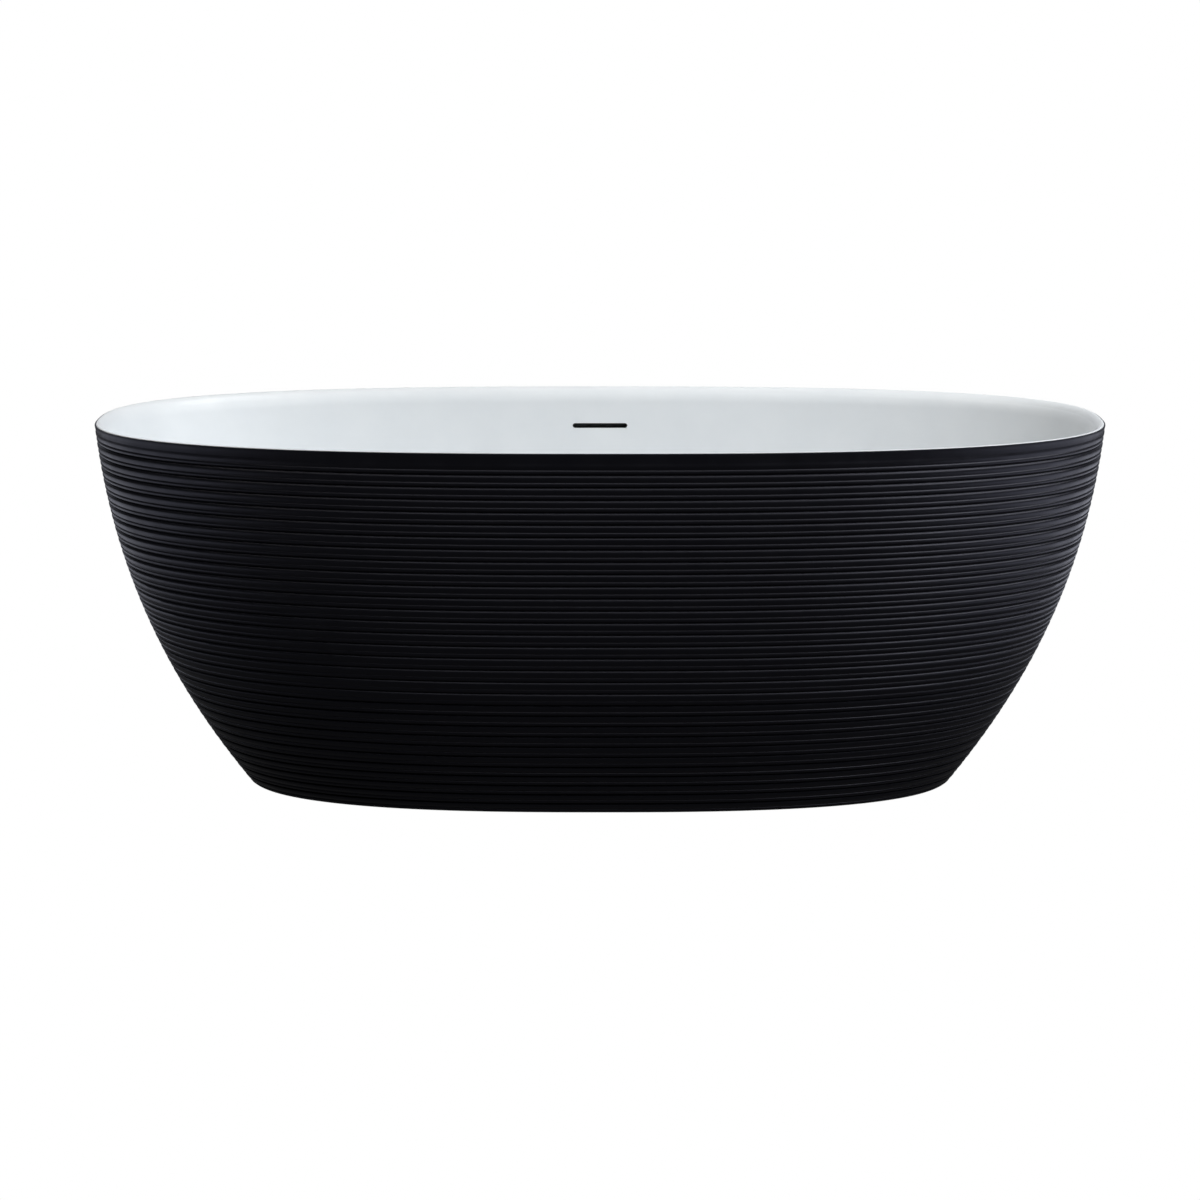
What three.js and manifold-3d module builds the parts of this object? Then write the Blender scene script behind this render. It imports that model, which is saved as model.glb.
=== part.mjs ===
// Freestanding double-skin bathtub: a white acrylic basin inside a black outer shell, carried by
// a bolted steel underframe on four levelling feet, with a click-clack waste, trap and overflow.
// Units are millimetres. The origin is on the floor under the middle of the tub, +X runs along
// the tub, -Y is its front and +Z is up.

import * as THREE from 'three';
import * as BufferGeometryUtils from 'three/addons/utils/BufferGeometryUtils.js';
import Module from 'manifold-3d';

const wasm = await Module();
wasm.setup();

// ---- driving dimensions ----

const LENGTH = 1600;
const WIDTH = 750;
const HEIGHT = 580;
const SQUARENESS = 2.6;         // exponent of the superellipse that every level of the tub follows
const SEGMENTS = 56;            // facets round the tub
const GAP = 0.3;                // clearance between pieces that touch

const SKIRT_CLEARANCE = 2;      // outer shell to floor
const BASE_HALF_LENGTH = 564;
const BASE_HALF_WIDTH = 274;
const SHELL_WALL = 5;
const SHELL_FLANGE = 18;        // in-turned foot of the outer shell
const SHELL_LEVELS = [60, 130, 210, 300, 400, 500];

const LIP_WIDTH = 15;
const LIP_THICKNESS = 6;
const BEAD_HEIGHT = 7;          // adhesive under the rim
const LIP_EDGE = 1;             // bevel on the rim's outer edge
const LIP_TAPER = 1;            // the edge leans in as the shell's wall does
const LEVEL_EDGE = 1.5;         // level line just inside it
const ROLL_DROP = 9;            // where the wall begins to roll over into the rim
const ROLL_STEPS = 3;
const SHELL_DROP = 1;           // top of the rim to the top edge of the shell round it
const REBATE = 2.2;             // thickness of that edge, outside the ledge the rim lies on
const FLOOR_TOP = 140;          // bathing floor above the ground
const FLOOR_THICKNESS = 9;
const FLOOR_HALF_LENGTH = 430;
const FLOOR_HALF_WIDTH = 185;
const BASIN_WALL = 6.5;
const BASIN_STEPS = 9;

const SLOT_LENGTH = 93;         // overflow slot in the back wall
const SLOT_HEIGHT = 8.5;
const SLOT_DROP = 64;           // rim to the middle of the slot

const TUBE = 25;                // square tube of the underframe
const TUBE_WALL = 2;
const RAIL_HALF_LENGTH = 450;
const RAIL_Y = 150;
const CROSSBAR_X = 330;
const CROSSBAR_HALF_LENGTH = 200;
const BOARD_THICKNESS = 13;
const BOARD_HOLE_RADIUS = 70;   // reach-through for the waste

const FOOT_X = 425;
const PAD_RADIUS = 24;
const PAD_HEIGHT = 14;
const STUD_RADIUS = 6;
const STUD_TOP = 112;
const STUD_HEX_HEIGHT = 8;
const JAM_NUT_HEIGHT = 9;

const DRAIN_HOLE_RADIUS = 26;
const DRAIN_RECESS_RADIUS = 37.5;
const DRAIN_RECESS_DEPTH = 4.5;
const OVERFLOW_INLET_Z = 104;
const OVERFLOW_PIPE_RADIUS = 10;
const DRAIN_PIPE_RADIUS = 20;
const DRAIN_PIPE_WALL = 3;
const TRAP_BEND_RADIUS = 28;
const TRAP_BEND_Z = 53;
const OUTLET_END_Y = -130;

// ---- levels worked out from the driving dimensions ----

const SHELL_TOP = HEIGHT - SHELL_DROP;
const LEDGE = HEIGHT - LIP_THICKNESS - GAP;
const FLOOR_UNDERSIDE = FLOOR_TOP - FLOOR_THICKNESS;
const BOARD_TOP = FLOOR_UNDERSIDE - GAP;
const CROSSBAR_TOP = BOARD_TOP - BOARD_THICKNESS - GAP;
const CROSSBAR_BOTTOM = CROSSBAR_TOP - TUBE;
const RAIL_TOP = CROSSBAR_BOTTOM - GAP;
const RAIL_BOTTOM = RAIL_TOP - TUBE;
const SLOT_Z = HEIGHT - SLOT_DROP;
const RECESS_FLOOR = FLOOR_TOP - DRAIN_RECESS_DEPTH;

// ---- materials ----

function finish(color, roughness, metalness = 0) {
  return new THREE.MeshStandardMaterial({ color, roughness, metalness });
}

const whiteAcrylic = () => finish(0xe3e7ea, 0.35);
const blackAcrylic = () => finish(0x0d0d10, 0.45);
const adhesive = () => finish(0xd8d5cc, 0.7);
const plywood = () => finish(0xb58b5a, 0.75);
const zincSteel = () => finish(0xa9adb0, 0.4, 0.9);
const paintedSteel = () => finish(0x2c2e31, 0.5, 0.3);
const chrome = () => finish(0xe6e8ea, 0.08, 1);
const brass = () => finish(0xb6924f, 0.3, 1);
const whitePlastic = () => finish(0xdcdcd8, 0.5);
const blackPlastic = () => finish(0x1b1b1c, 0.6);
const rubber = () => finish(0x222222, 0.85);

// ---- scene graph and solids ----

const tub = new THREE.Group();

function addPiece(name, geometry, material, position = [0, 0, 0], parent = tub) {
  const mesh = new THREE.Mesh(geometry, material);
  mesh.name = name;
  mesh.position.set(...position);
  parent.add(mesh);
  return mesh;
}

function toSolid(geometry) {
  let bare = geometry.clone();
  bare.deleteAttribute('normal');
  bare.deleteAttribute('uv');
  bare = BufferGeometryUtils.mergeVertices(bare, 1e-4);
  return new wasm.Manifold(new wasm.Mesh({
    numProp: 3,
    vertProperties: new Float32Array(bare.attributes.position.array),
    triVerts: new Uint32Array(bare.index.array),
  }));
}

function toGeometry(solid) {
  const mesh = solid.getMesh();
  const geometry = new THREE.BufferGeometry();
  const points = new Float32Array(mesh.numVert * 3);
  for (let i = 0; i < mesh.numVert; i += 1) {
    points.set(mesh.vertProperties.slice(i * mesh.numProp, i * mesh.numProp + 3), i * 3);
  }
  geometry.setAttribute('position', new THREE.BufferAttribute(points, 3));
  geometry.setIndex(new THREE.BufferAttribute(new Uint32Array(mesh.triVerts), 1));
  return geometry;
}

function cut(body, ...tools) {
  return toGeometry(tools.reduce((rest, tool) => rest.subtract(toSolid(tool)), toSolid(body)));
}

function join(body, ...others) {
  return toGeometry(others.reduce((whole, other) => whole.add(toSolid(other)), toSolid(body)));
}

// ---- the tub's oval form ----

// Height runs along y of these wall curves, half length or half width along x.
function wallCurve(...points) {
  return new THREE.CubicBezierCurve(...points.map(([x, z]) => new THREE.Vector2(x, z)));
}

const outerEnd = wallCurve([BASE_HALF_LENGTH, 0], [704, 182], [778, 360], [LENGTH / 2, HEIGHT]);
const outerSide = wallCurve([BASE_HALF_WIDTH, 0], [352, 165], [WIDTH / 2, 331], [WIDTH / 2, HEIGHT]);
const innerEnd = wallCurve(
  [FLOOR_HALF_LENGTH, FLOOR_TOP], [640, FLOOR_TOP], [720, 330], [LENGTH / 2 - LIP_WIDTH, HEIGHT]);
const innerSide = wallCurve(
  [FLOOR_HALF_WIDTH, FLOOR_TOP], [290, FLOOR_TOP], [322, 400], [WIDTH / 2 - LIP_WIDTH, HEIGHT]);

// Where a rising wall curve reaches height z.
function reachAt(curve, z) {
  let low = 0;
  let high = 1;
  for (let i = 0; i < 40; i += 1) {
    const middle = (low + high) / 2;
    if (curve.getPoint(middle).y < z) low = middle;
    else high = middle;
  }
  return curve.getPoint((low + high) / 2).x;
}

function ring(z, a, b) {
  return { z, a, b };
}

function outerRing(z, inset = 0) {
  return ring(z, reachAt(outerEnd, z) - inset, reachAt(outerSide, z) - inset);
}

function innerRing(z, outset = 0, drop = 0) {
  return ring(z - drop, reachAt(innerEnd, z) + outset, reachAt(innerSide, z) + outset);
}

function ovalPoint({ a, b, z }, turn) {
  const c = Math.cos(turn);
  const s = Math.sin(turn);
  const squeeze = (Math.abs(c) ** SQUARENESS + Math.abs(s) ** SQUARENESS) ** (-1 / SQUARENESS);
  return [a * c * squeeze, b * s * squeeze, z];
}

// A closed body through oval rings. The rings' section either closes on itself, or starts and
// ends on the tub's middle line, which caps it at both ends.
function ovalBody(rings, sectionCloses) {
  const points = rings.flatMap((level) => Array.from({ length: SEGMENTS }, (_, i) => (
    ovalPoint(level, (i / SEGMENTS) * 2 * Math.PI))));
  const faces = [];
  const strips = sectionCloses ? rings.length : rings.length - 1;
  for (let r = 0; r < strips; r += 1) {
    const here = r * SEGMENTS;
    const there = ((r + 1) % rings.length) * SEGMENTS;
    for (let i = 0; i < SEGMENTS; i += 1) {
      const j = (i + 1) % SEGMENTS;
      faces.push(here + i, here + j, there + j, here + i, there + j, there + i);
    }
  }
  if (!sectionCloses) {
    const last = (rings.length - 1) * SEGMENTS;
    const first = points.length;
    points.push([0, 0, rings[0].z], [0, 0, rings[rings.length - 1].z]);
    for (let i = 0; i < SEGMENTS; i += 1) {
      const j = (i + 1) % SEGMENTS;
      faces.push(first, j, i, first + 1, last + i, last + j);
    }
  }
  const geometry = new THREE.BufferGeometry();
  geometry.setAttribute('position', new THREE.Float32BufferAttribute(points.flat(), 3));
  geometry.setIndex(faces);
  return geometry;
}

// ---- common shapes ----

function turned(profile, segments = 24) {
  const points = profile.map(([r, z]) => new THREE.Vector2(r, z));
  return new THREE.LatheGeometry(points, segments).rotateX(Math.PI / 2);
}

// A ring or washer with a rectangular section, standing on z = bottom.
function washer(inner, outer, bottom, top, segments = 24) {
  return turned(
    [[inner, bottom], [outer, bottom], [outer, top], [inner, top], [inner, bottom]], segments);
}

function rod(radius, bottom, top, segments = 24) {
  return turned([[0, bottom], [radius, bottom], [radius, top], [0, top]], segments);
}

function box(x, y, z, width, depth, height) {
  return new THREE.BoxGeometry(width, depth, height).translate(x, y, z);
}

function hexagon(acrossFlats) {
  const shape = new THREE.Shape();
  for (let i = 0; i < 6; i += 1) {
    const turn = (i / 6) * 2 * Math.PI;
    const radius = acrossFlats / Math.sqrt(3);
    shape[i ? 'lineTo' : 'moveTo'](radius * Math.cos(turn), radius * Math.sin(turn));
  }
  shape.closePath();
  return shape;
}

function hexPrism(acrossFlats, bottom, top, bore = 0) {
  const shape = hexagon(acrossFlats);
  if (bore) shape.holes.push(new THREE.Path().absarc(0, 0, bore, 0, 2 * Math.PI));
  const depth = top - bottom;
  return new THREE.ExtrudeGeometry(shape, { depth, bevelEnabled: false, curveSegments: 6 })
    .translate(0, 0, bottom);
}

function pipeAlong(path, outer, inner, steps, sides = 10) {
  const shape = new THREE.Shape().absarc(0, 0, outer, 0, 2 * Math.PI);
  if (inner) shape.holes.push(new THREE.Path().absarc(0, 0, inner, 0, 2 * Math.PI, true));
  return new THREE.ExtrudeGeometry(shape, {
    steps, extrudePath: path, bevelEnabled: false, curveSegments: sides,
  });
}

// ---- skins ----

function outerShell() {
  const bottom = SKIRT_CLEARANCE;
  const inside = SHELL_WALL + SHELL_FLANGE;
  const outward = [bottom, ...SHELL_LEVELS, SHELL_TOP].map((z) => outerRing(z));
  const edge = [outerRing(SHELL_TOP, REBATE), outerRing(LEDGE, REBATE)];
  const inward = [LEDGE, ...[...SHELL_LEVELS].reverse(), bottom + SHELL_WALL]
    .map((z) => outerRing(z, SHELL_WALL));
  const flange = [outerRing(bottom + SHELL_WALL, inside), outerRing(bottom, inside)];
  return ovalBody([...outward, ...edge, ...inward, ...flange], true);
}

function basinBody() {
  const wallTop = HEIGHT - ROLL_DROP;
  const inside = [];
  for (let i = 0; i <= BASIN_STEPS; i += 1) {
    inside.push(innerRing(Math.min(innerEnd.getPoint(i / BASIN_STEPS).y, wallTop)));
  }
  const rimRing = (z, inset) => ring(z, LENGTH / 2 - inset, WIDTH / 2 - inset);
  const edge = REBATE + GAP;
  const roll = new THREE.QuadraticBezierCurve(
    new THREE.Vector2(LIP_WIDTH, wallTop),
    new THREE.Vector2(11.5, HEIGHT - 2.5),
    new THREE.Vector2(edge + LIP_EDGE + LEVEL_EDGE, HEIGHT));
  const rim = roll.getPoints(ROLL_STEPS).slice(1).map((point) => rimRing(point.y, point.x));
  rim.push(
    rimRing(HEIGHT, edge + LIP_EDGE),
    rimRing(HEIGHT - LIP_EDGE, edge),
    rimRing(HEIGHT - LIP_THICKNESS, edge + LIP_TAPER),
  );
  const underLip = innerRing(HEIGHT - LIP_THICKNESS, BASIN_WALL);
  const outside = inside.slice(0, -1).reverse().map((level) => {
    const share = (level.z - FLOOR_TOP) / (HEIGHT - FLOOR_TOP);
    const drop = FLOOR_THICKNESS * (1 - share) ** 3;
    const outset = level === inside[0] ? 0 : BASIN_WALL;
    return ring(level.z - drop, level.a + outset, level.b + outset);
  });
  return ovalBody([...inside, ...rim, underLip, ...outside].reverse(), false);
}

function slotCutter() {
  const half = (SLOT_LENGTH - SLOT_HEIGHT) / 2;
  const radius = SLOT_HEIGHT / 2;
  const shape = new THREE.Shape();
  shape.absarc(half, 0, radius, -Math.PI / 2, Math.PI / 2);
  shape.absarc(-half, 0, radius, Math.PI / 2, 1.5 * Math.PI);
  return new THREE.ExtrudeGeometry(shape, { depth: 60, bevelEnabled: false, curveSegments: 8 })
    .rotateX(Math.PI / 2)
    .translate(0, WIDTH / 2 + 10, SLOT_Z);
}

function innerBasin() {
  const recess = rod(DRAIN_RECESS_RADIUS, RECESS_FLOOR, FLOOR_TOP + 10, 32);
  const hole = rod(DRAIN_HOLE_RADIUS, FLOOR_UNDERSIDE - 10, FLOOR_TOP, 32);
  return cut(basinBody(), recess, hole, slotCutter());
}

// The bead of adhesive that bonds the two skins under the rim.
function rimBead() {
  const top = LEDGE;
  const bottom = top - BEAD_HEIGHT;
  const shellSide = SHELL_WALL + GAP;
  return ovalBody([
    innerRing(bottom, BASIN_WALL + 2 * GAP),
    outerRing(bottom, shellSide),
    outerRing(top, shellSide),
    innerRing(top, BASIN_WALL + 2 * GAP),
  ], true);
}

// ---- underframe ----

function baseBoard() {
  const outline = { a: FLOOR_HALF_LENGTH - 5, b: FLOOR_HALF_WIDTH - 5, z: 0 };
  const shape = new THREE.Shape(Array.from({ length: SEGMENTS }, (_, i) => (
    new THREE.Vector2(...ovalPoint(outline, (i / SEGMENTS) * 2 * Math.PI)))));
  shape.holes.push(new THREE.Path().absarc(0, 0, BOARD_HOLE_RADIUS, 0, 2 * Math.PI));
  return new THREE.ExtrudeGeometry(shape, { depth: BOARD_THICKNESS, bevelEnabled: false })
    .translate(0, 0, BOARD_TOP - BOARD_THICKNESS);
}

// Square tube along X, centred on the origin.
function squareTube(halfLength) {
  const half = TUBE / 2;
  const inside = half - TUBE_WALL;
  const shape = new THREE.Shape([[-half, -half], [half, -half], [half, half], [-half, half]]
    .map(([x, y]) => new THREE.Vector2(x, y)));
  shape.holes.push(new THREE.Path([[-inside, -inside], [-inside, inside], [inside, inside],
    [inside, -inside]].map(([x, y]) => new THREE.Vector2(x, y))));
  return new THREE.ExtrudeGeometry(shape, { depth: 2 * halfLength, bevelEnabled: false })
    .translate(0, 0, -halfLength)
    .rotateY(Math.PI / 2);
}

function rail() {
  const half = TUBE / 2;
  const holes = [-1, 1].flatMap((side) => [
    rod(4.5, -half - 1, half + 1, 12).translate(side * CROSSBAR_X, 0, 0),
    rod(STUD_RADIUS + GAP, -half - 1, half + 1, 16).translate(side * FOOT_X, 0, 0),
  ]);
  return cut(squareTube(RAIL_HALF_LENGTH), ...holes);
}

function crossbar() {
  const half = TUBE / 2;
  const holes = [-1, 1].map((side) => rod(4.5, -half - 1, 0, 12).translate(side * RAIL_Y, 0, 0));
  return cut(squareTube(CROSSBAR_HALF_LENGTH), ...holes).rotateZ(Math.PI / 2);
}

// Hex bolt from below the rail, through both tubes' walls, into the nut inside the crossbar.
function frameBolt() {
  const headTop = RAIL_BOTTOM - GAP;
  return join(hexPrism(13, headTop - 5.3, headTop), rod(4, headTop - 1, CROSSBAR_BOTTOM + 12, 12));
}

function frameNut() {
  const bottom = CROSSBAR_BOTTOM + TUBE_WALL + GAP;
  return hexPrism(13, bottom, bottom + 6.5, 4 + GAP);
}

// Z-shaped strip that ties the shell's in-turned foot to the end of a crossbar.
function shellBracket(side) {
  const thickness = 4;
  const start = 166;
  const drop = 205;
  const top = CROSSBAR_BOTTOM - GAP;
  const bottom = SKIRT_CLEARANCE + SHELL_WALL + GAP;
  const section = [
    [start, top], [start, top - thickness], [drop, top - thickness], [drop, bottom],
    [drop + 30, bottom], [drop + 30, bottom + thickness], [drop + thickness, bottom + thickness],
    [drop + thickness, top],
  ];
  const shape = new THREE.Shape(section.map(([y, z]) => new THREE.Vector2(side * y, z)));
  return new THREE.ExtrudeGeometry(shape, { depth: 30, bevelEnabled: false })
    .translate(0, 0, -15)
    .rotateX(Math.PI / 2)
    .rotateZ(Math.PI / 2);
}

// ---- levelling feet ----

function footPad() {
  const socket = STUD_RADIUS + 1;
  return turned([
    [0, 0], [PAD_RADIUS, 0], [PAD_RADIUS, 5], [PAD_RADIUS - 6, 9], [13, PAD_HEIGHT],
    [socket, PAD_HEIGHT], [socket, 6], [0, 6],
  ]);
}

function footStud() {
  const hexBottom = PAD_HEIGHT + GAP;
  return join(
    hexPrism(19, hexBottom, hexBottom + STUD_HEX_HEIGHT),
    rod(STUD_RADIUS, 6 + GAP, STUD_TOP - 1, 20),
    turned([[0, STUD_TOP - 1.5], [STUD_RADIUS, STUD_TOP - 1.5], [STUD_RADIUS - 1.5, STUD_TOP],
      [0, STUD_TOP]], 20),
  );
}

function jamNut() {
  const top = RAIL_BOTTOM - GAP;
  return hexPrism(19, top - JAM_NUT_HEIGHT, top, STUD_RADIUS + GAP);
}

// ---- waste ----

const FLANGE_BOTTOM = RECESS_FLOOR + 2 * GAP + 1.2;
const FLANGE_TOP = FLOOR_TOP - 0.2;
const FLANGE_TUBE_RADIUS = 24;
const FLANGE_BORE_RADIUS = 21.5;
const TUBE_END_Z = 100;
const SLEEVE_RADIUS = 9;
const SLEEVE_BORE_RADIUS = 7.2;
const SLEEVE_BOTTOM = 106;
const SLEEVE_TOP = 132;
const STEM_RADIUS = 3.5;
const COLLAR_Z = 123;
const SPRING_RADIUS = 5.4;
const SPRING_WIRE_RADIUS = 0.6;
const SPRING_BOTTOM = 108.5;
const BODY_TOP = FLOOR_UNDERSIDE - 2 * GAP - 2;

function wasteFlange() {
  const sleeveHole = SLEEVE_RADIUS + GAP;
  const collar = turned([
    [FLANGE_BORE_RADIUS, TUBE_END_Z], [FLANGE_TUBE_RADIUS, TUBE_END_Z],
    [FLANGE_TUBE_RADIUS, FLANGE_BOTTOM], [35, FLANGE_BOTTOM], [35, FLANGE_TOP - 1.5],
    [33, FLANGE_TOP], [25, FLANGE_TOP], [FLANGE_BORE_RADIUS, FLANGE_TOP - 4],
    [FLANGE_BORE_RADIUS, TUBE_END_Z],
  ], 32);
  const spokeZ = 120;
  const reach = 2 * FLANGE_BORE_RADIUS + 2;
  const spokes = [0, Math.PI / 2].map((turn) => box(0, 0, spokeZ, reach, 3, 8).rotateZ(turn));
  const hub = rod(SLEEVE_RADIUS + 2.5, spokeZ - 6, spokeZ + 6, 24);
  const bore = rod(sleeveHole, spokeZ - 20, spokeZ + 20, 24);
  return cut(join(collar, hub, ...spokes), bore);
}

function wasteBody() {
  const outside = turned([
    [0, 66], [DRAIN_PIPE_RADIUS, 66], [DRAIN_PIPE_RADIUS, 82], [30, 90], [30, BODY_TOP - 5],
    [42, BODY_TOP - 5], [42, BODY_TOP], [0, BODY_TOP],
  ], 32);
  const throat = turned([
    [0, 60], [DRAIN_PIPE_RADIUS - DRAIN_PIPE_WALL, 60], [DRAIN_PIPE_RADIUS - DRAIN_PIPE_WALL, 84],
    [26, 93], [26, BODY_TOP + 5], [0, BODY_TOP + 5],
  ], 32);
  const inlet = rod(14, 0, 62, 20).rotateX(-Math.PI / 2).translate(0, 0, OVERFLOW_INLET_Z);
  const inletBore = rod(OVERFLOW_PIPE_RADIUS + GAP, 5, 70, 20)
    .rotateX(-Math.PI / 2)
    .translate(0, 0, OVERFLOW_INLET_Z);
  return cut(join(outside, inlet), throat, inletBore);
}

function plugCap() {
  const bottom = FLANGE_TOP + 2 * GAP + 1.4;
  return turned([
    [0, bottom], [29, bottom], [31, bottom + 1], [31, bottom + 2.5], [27, bottom + 4.2],
    [18, bottom + 5.2], [8, bottom + 5.7], [0, bottom + 5.8],
  ], 40);
}

function plugStem() {
  const top = FLANGE_TOP + GAP + 1.4;
  return turned([
    [0, 102], [STEM_RADIUS, 102], [STEM_RADIUS, COLLAR_Z], [6.4, COLLAR_Z], [6.4, COLLAR_Z + 3],
    [STEM_RADIUS, COLLAR_Z + 3], [STEM_RADIUS, top], [0, top],
  ], 20);
}

function clickerSleeve() {
  return turned([
    [STEM_RADIUS + 0.5, SLEEVE_BOTTOM], [SLEEVE_RADIUS, SLEEVE_BOTTOM],
    [SLEEVE_RADIUS, SLEEVE_TOP + 4], [SLEEVE_BORE_RADIUS, SLEEVE_TOP + 4],
    [SLEEVE_BORE_RADIUS, SLEEVE_BOTTOM + 2], [STEM_RADIUS + 0.5, SLEEVE_BOTTOM + 2],
    [STEM_RADIUS + 0.5, SLEEVE_BOTTOM],
  ], 24);
}

// Coil wound on a vertical line through the origin.
class Coil extends THREE.Curve {
  constructor(radius, bottom, top, turns) {
    super();
    Object.assign(this, { radius, bottom, top, turns });
  }

  getPoint(t, target = new THREE.Vector3()) {
    const turn = t * this.turns * 2 * Math.PI;
    const z = this.bottom + t * (this.top - this.bottom);
    return target.set(this.radius * Math.cos(turn), this.radius * Math.sin(turn), z);
  }
}

function clickerSpring() {
  const reach = SPRING_WIRE_RADIUS + GAP;
  const coil = new Coil(SPRING_RADIUS, SPRING_BOTTOM + reach, COLLAR_Z - reach, 5);
  return pipeAlong(coil, SPRING_WIRE_RADIUS, 0, 50, 3);
}

// ---- trap and outlet ----

// Line and arc pieces in the Y-Z plane, joined end to end.
function trapPath() {
  const path = new THREE.CurvePath();
  const at = (y, z) => new THREE.Vector3(0, y, z);
  const turnY = -2 * TRAP_BEND_RADIUS;
  const elbow = 22;
  const kappa = 0.5523;
  const r = TRAP_BEND_RADIUS;
  const z = TRAP_BEND_Z;
  path.add(new THREE.LineCurve3(at(0, 64), at(0, z)));
  path.add(new THREE.CubicBezierCurve3(at(0, z), at(0, z - kappa * r), at(-r + kappa * r, z - r),
    at(-r, z - r)));
  path.add(new THREE.CubicBezierCurve3(at(-r, z - r), at(-r - kappa * r, z - r),
    at(turnY, z - kappa * r), at(turnY, z)));
  path.add(new THREE.CubicBezierCurve3(at(turnY, z), at(turnY, z + kappa * elbow),
    at(turnY - elbow + kappa * elbow, z + elbow), at(turnY - elbow, z + elbow)));
  path.add(new THREE.LineCurve3(at(turnY - elbow, z + elbow), at(turnY - elbow - 14, z + elbow)));
  return path;
}

const OUTLET_Z = TRAP_BEND_Z + 22;
const TRAP_END_Y = -2 * TRAP_BEND_RADIUS - 22 - 14;

function trapBend() {
  return pipeAlong(trapPath(), DRAIN_PIPE_RADIUS, DRAIN_PIPE_RADIUS - DRAIN_PIPE_WALL, 22, 6);
}

// Union nut round two pipe ends that meet inside it.
function unionNut(radius, length) {
  return join(
    washer(radius + GAP, radius + 6, 0, length, 20),
    ...Array.from({ length: 8 }, (_, i) => (
      box(radius + 6.5, 0, length / 2, 3, 5, length - 2).rotateZ((i / 8) * 2 * Math.PI))),
  );
}

function outletPipe() {
  return washer(DRAIN_PIPE_RADIUS - DRAIN_PIPE_WALL, DRAIN_PIPE_RADIUS, 0,
    TRAP_END_Y - GAP - OUTLET_END_Y, 20).rotateX(Math.PI / 2).translate(0, TRAP_END_Y - GAP, 0);
}

// ---- overflow ----

const WALL_OUTSIDE_Y = reachAt(innerSide, SLOT_Z) + BASIN_WALL;
const WALL_SPAN = 45;
const WALL_TILT = Math.atan(
  (reachAt(innerSide, SLOT_Z) - reachAt(innerSide, SLOT_Z - WALL_SPAN)) / WALL_SPAN);
const BOX_WIDTH = 118;
const BOX_ABOVE = 9;
const BOX_BELOW = 46;
const BOX_DEPTH = 11;
const BOX_WALL = 1.6;
const GASKET_THICKNESS = 1.2;

// Pieces behind the slot are built flat, with +Y away from the wall, and leaned to lie on it.
function leanOnWall(geometry) {
  return geometry.rotateX(-WALL_TILT).translate(0, WALL_OUTSIDE_Y + 2 * GAP, SLOT_Z);
}

function overflowGasket() {
  const height = BOX_ABOVE + BOX_BELOW;
  const middle = (BOX_ABOVE - BOX_BELOW) / 2;
  const sheet = box(0, GASKET_THICKNESS / 2, middle, BOX_WIDTH, GASKET_THICKNESS, height);
  const window = box(0, GASKET_THICKNESS / 2, middle, BOX_WIDTH - 14, 5, height - 10);
  return leanOnWall(cut(sheet, window));
}

function overflowBox() {
  const height = BOX_ABOVE + BOX_BELOW;
  const middle = (BOX_ABOVE - BOX_BELOW) / 2;
  const front = GASKET_THICKNESS + GAP;
  const shell = box(0, front + BOX_DEPTH / 2, middle, BOX_WIDTH, BOX_DEPTH, height);
  const hollow = box(0, front + BOX_DEPTH / 2 - BOX_WALL, middle, BOX_WIDTH - 14, BOX_DEPTH,
    height - 10);
  const drainHole = box(0, front + BOX_DEPTH / 2 - 0.3, -BOX_BELOW, 30, 5, 20);
  return leanOnWall(cut(shell, hollow, drainHole));
}

// Flat at the top where it meets the box, round at the bottom where the pipe enters.
const FUNNEL_Y = 354.8;
const FUNNEL_RADIUS = 11.6;
const FUNNEL_TOP = 466;
const FUNNEL_BOTTOM = 440;

function overflowFunnel() {
  const flat = box(0, 0, FUNNEL_TOP - 8, 40, 11, 12);
  const socket = rod(FUNNEL_RADIUS, FUNNEL_BOTTOM, FUNNEL_TOP - 8, 20);
  const slot = box(0, 0, FUNNEL_TOP - 6, 32, 6, 16);
  const bore = rod(OVERFLOW_PIPE_RADIUS + GAP, FUNNEL_BOTTOM - 5, FUNNEL_TOP - 12, 20);
  return cut(join(flat, socket), slot, bore).translate(0, FUNNEL_Y, 0);
}

// Down between the skins, then level under the board to the waste body.
function overflowPipe() {
  const route = new THREE.CatmullRomCurve3([
    [FUNNEL_Y, 452], [FUNNEL_Y, 430], [347, 395], [337, 340], [323, 270], [308, 205], [290, 150],
    [268, 118], [240, OVERFLOW_INLET_Z + 2], [205, OVERFLOW_INLET_Z], [150, OVERFLOW_INLET_Z],
    [90, OVERFLOW_INLET_Z], [40, OVERFLOW_INLET_Z],
  ].map(([y, z]) => new THREE.Vector3(0, y, z)), false, 'centripetal');
  return pipeAlong(route, OVERFLOW_PIPE_RADIUS, OVERFLOW_PIPE_RADIUS - 2, 28, 5);
}

function overflowNut() {
  const cap = washer(OVERFLOW_PIPE_RADIUS + GAP, 18, 14, 17, 20);
  return join(washer(14 + GAP, 18, 0, 14.5, 20), cap)
    .rotateX(-Math.PI / 2)
    .translate(0, 62 + GAP - 14, OVERFLOW_INLET_Z);
}

// ---- assembly ----

addPiece('inner_basin', innerBasin(), whiteAcrylic());
addPiece('outer_shell', outerShell(), blackAcrylic());
addPiece('rim_adhesive_bead', rimBead(), adhesive());
addPiece('base_board', baseBoard(), plywood());

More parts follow.
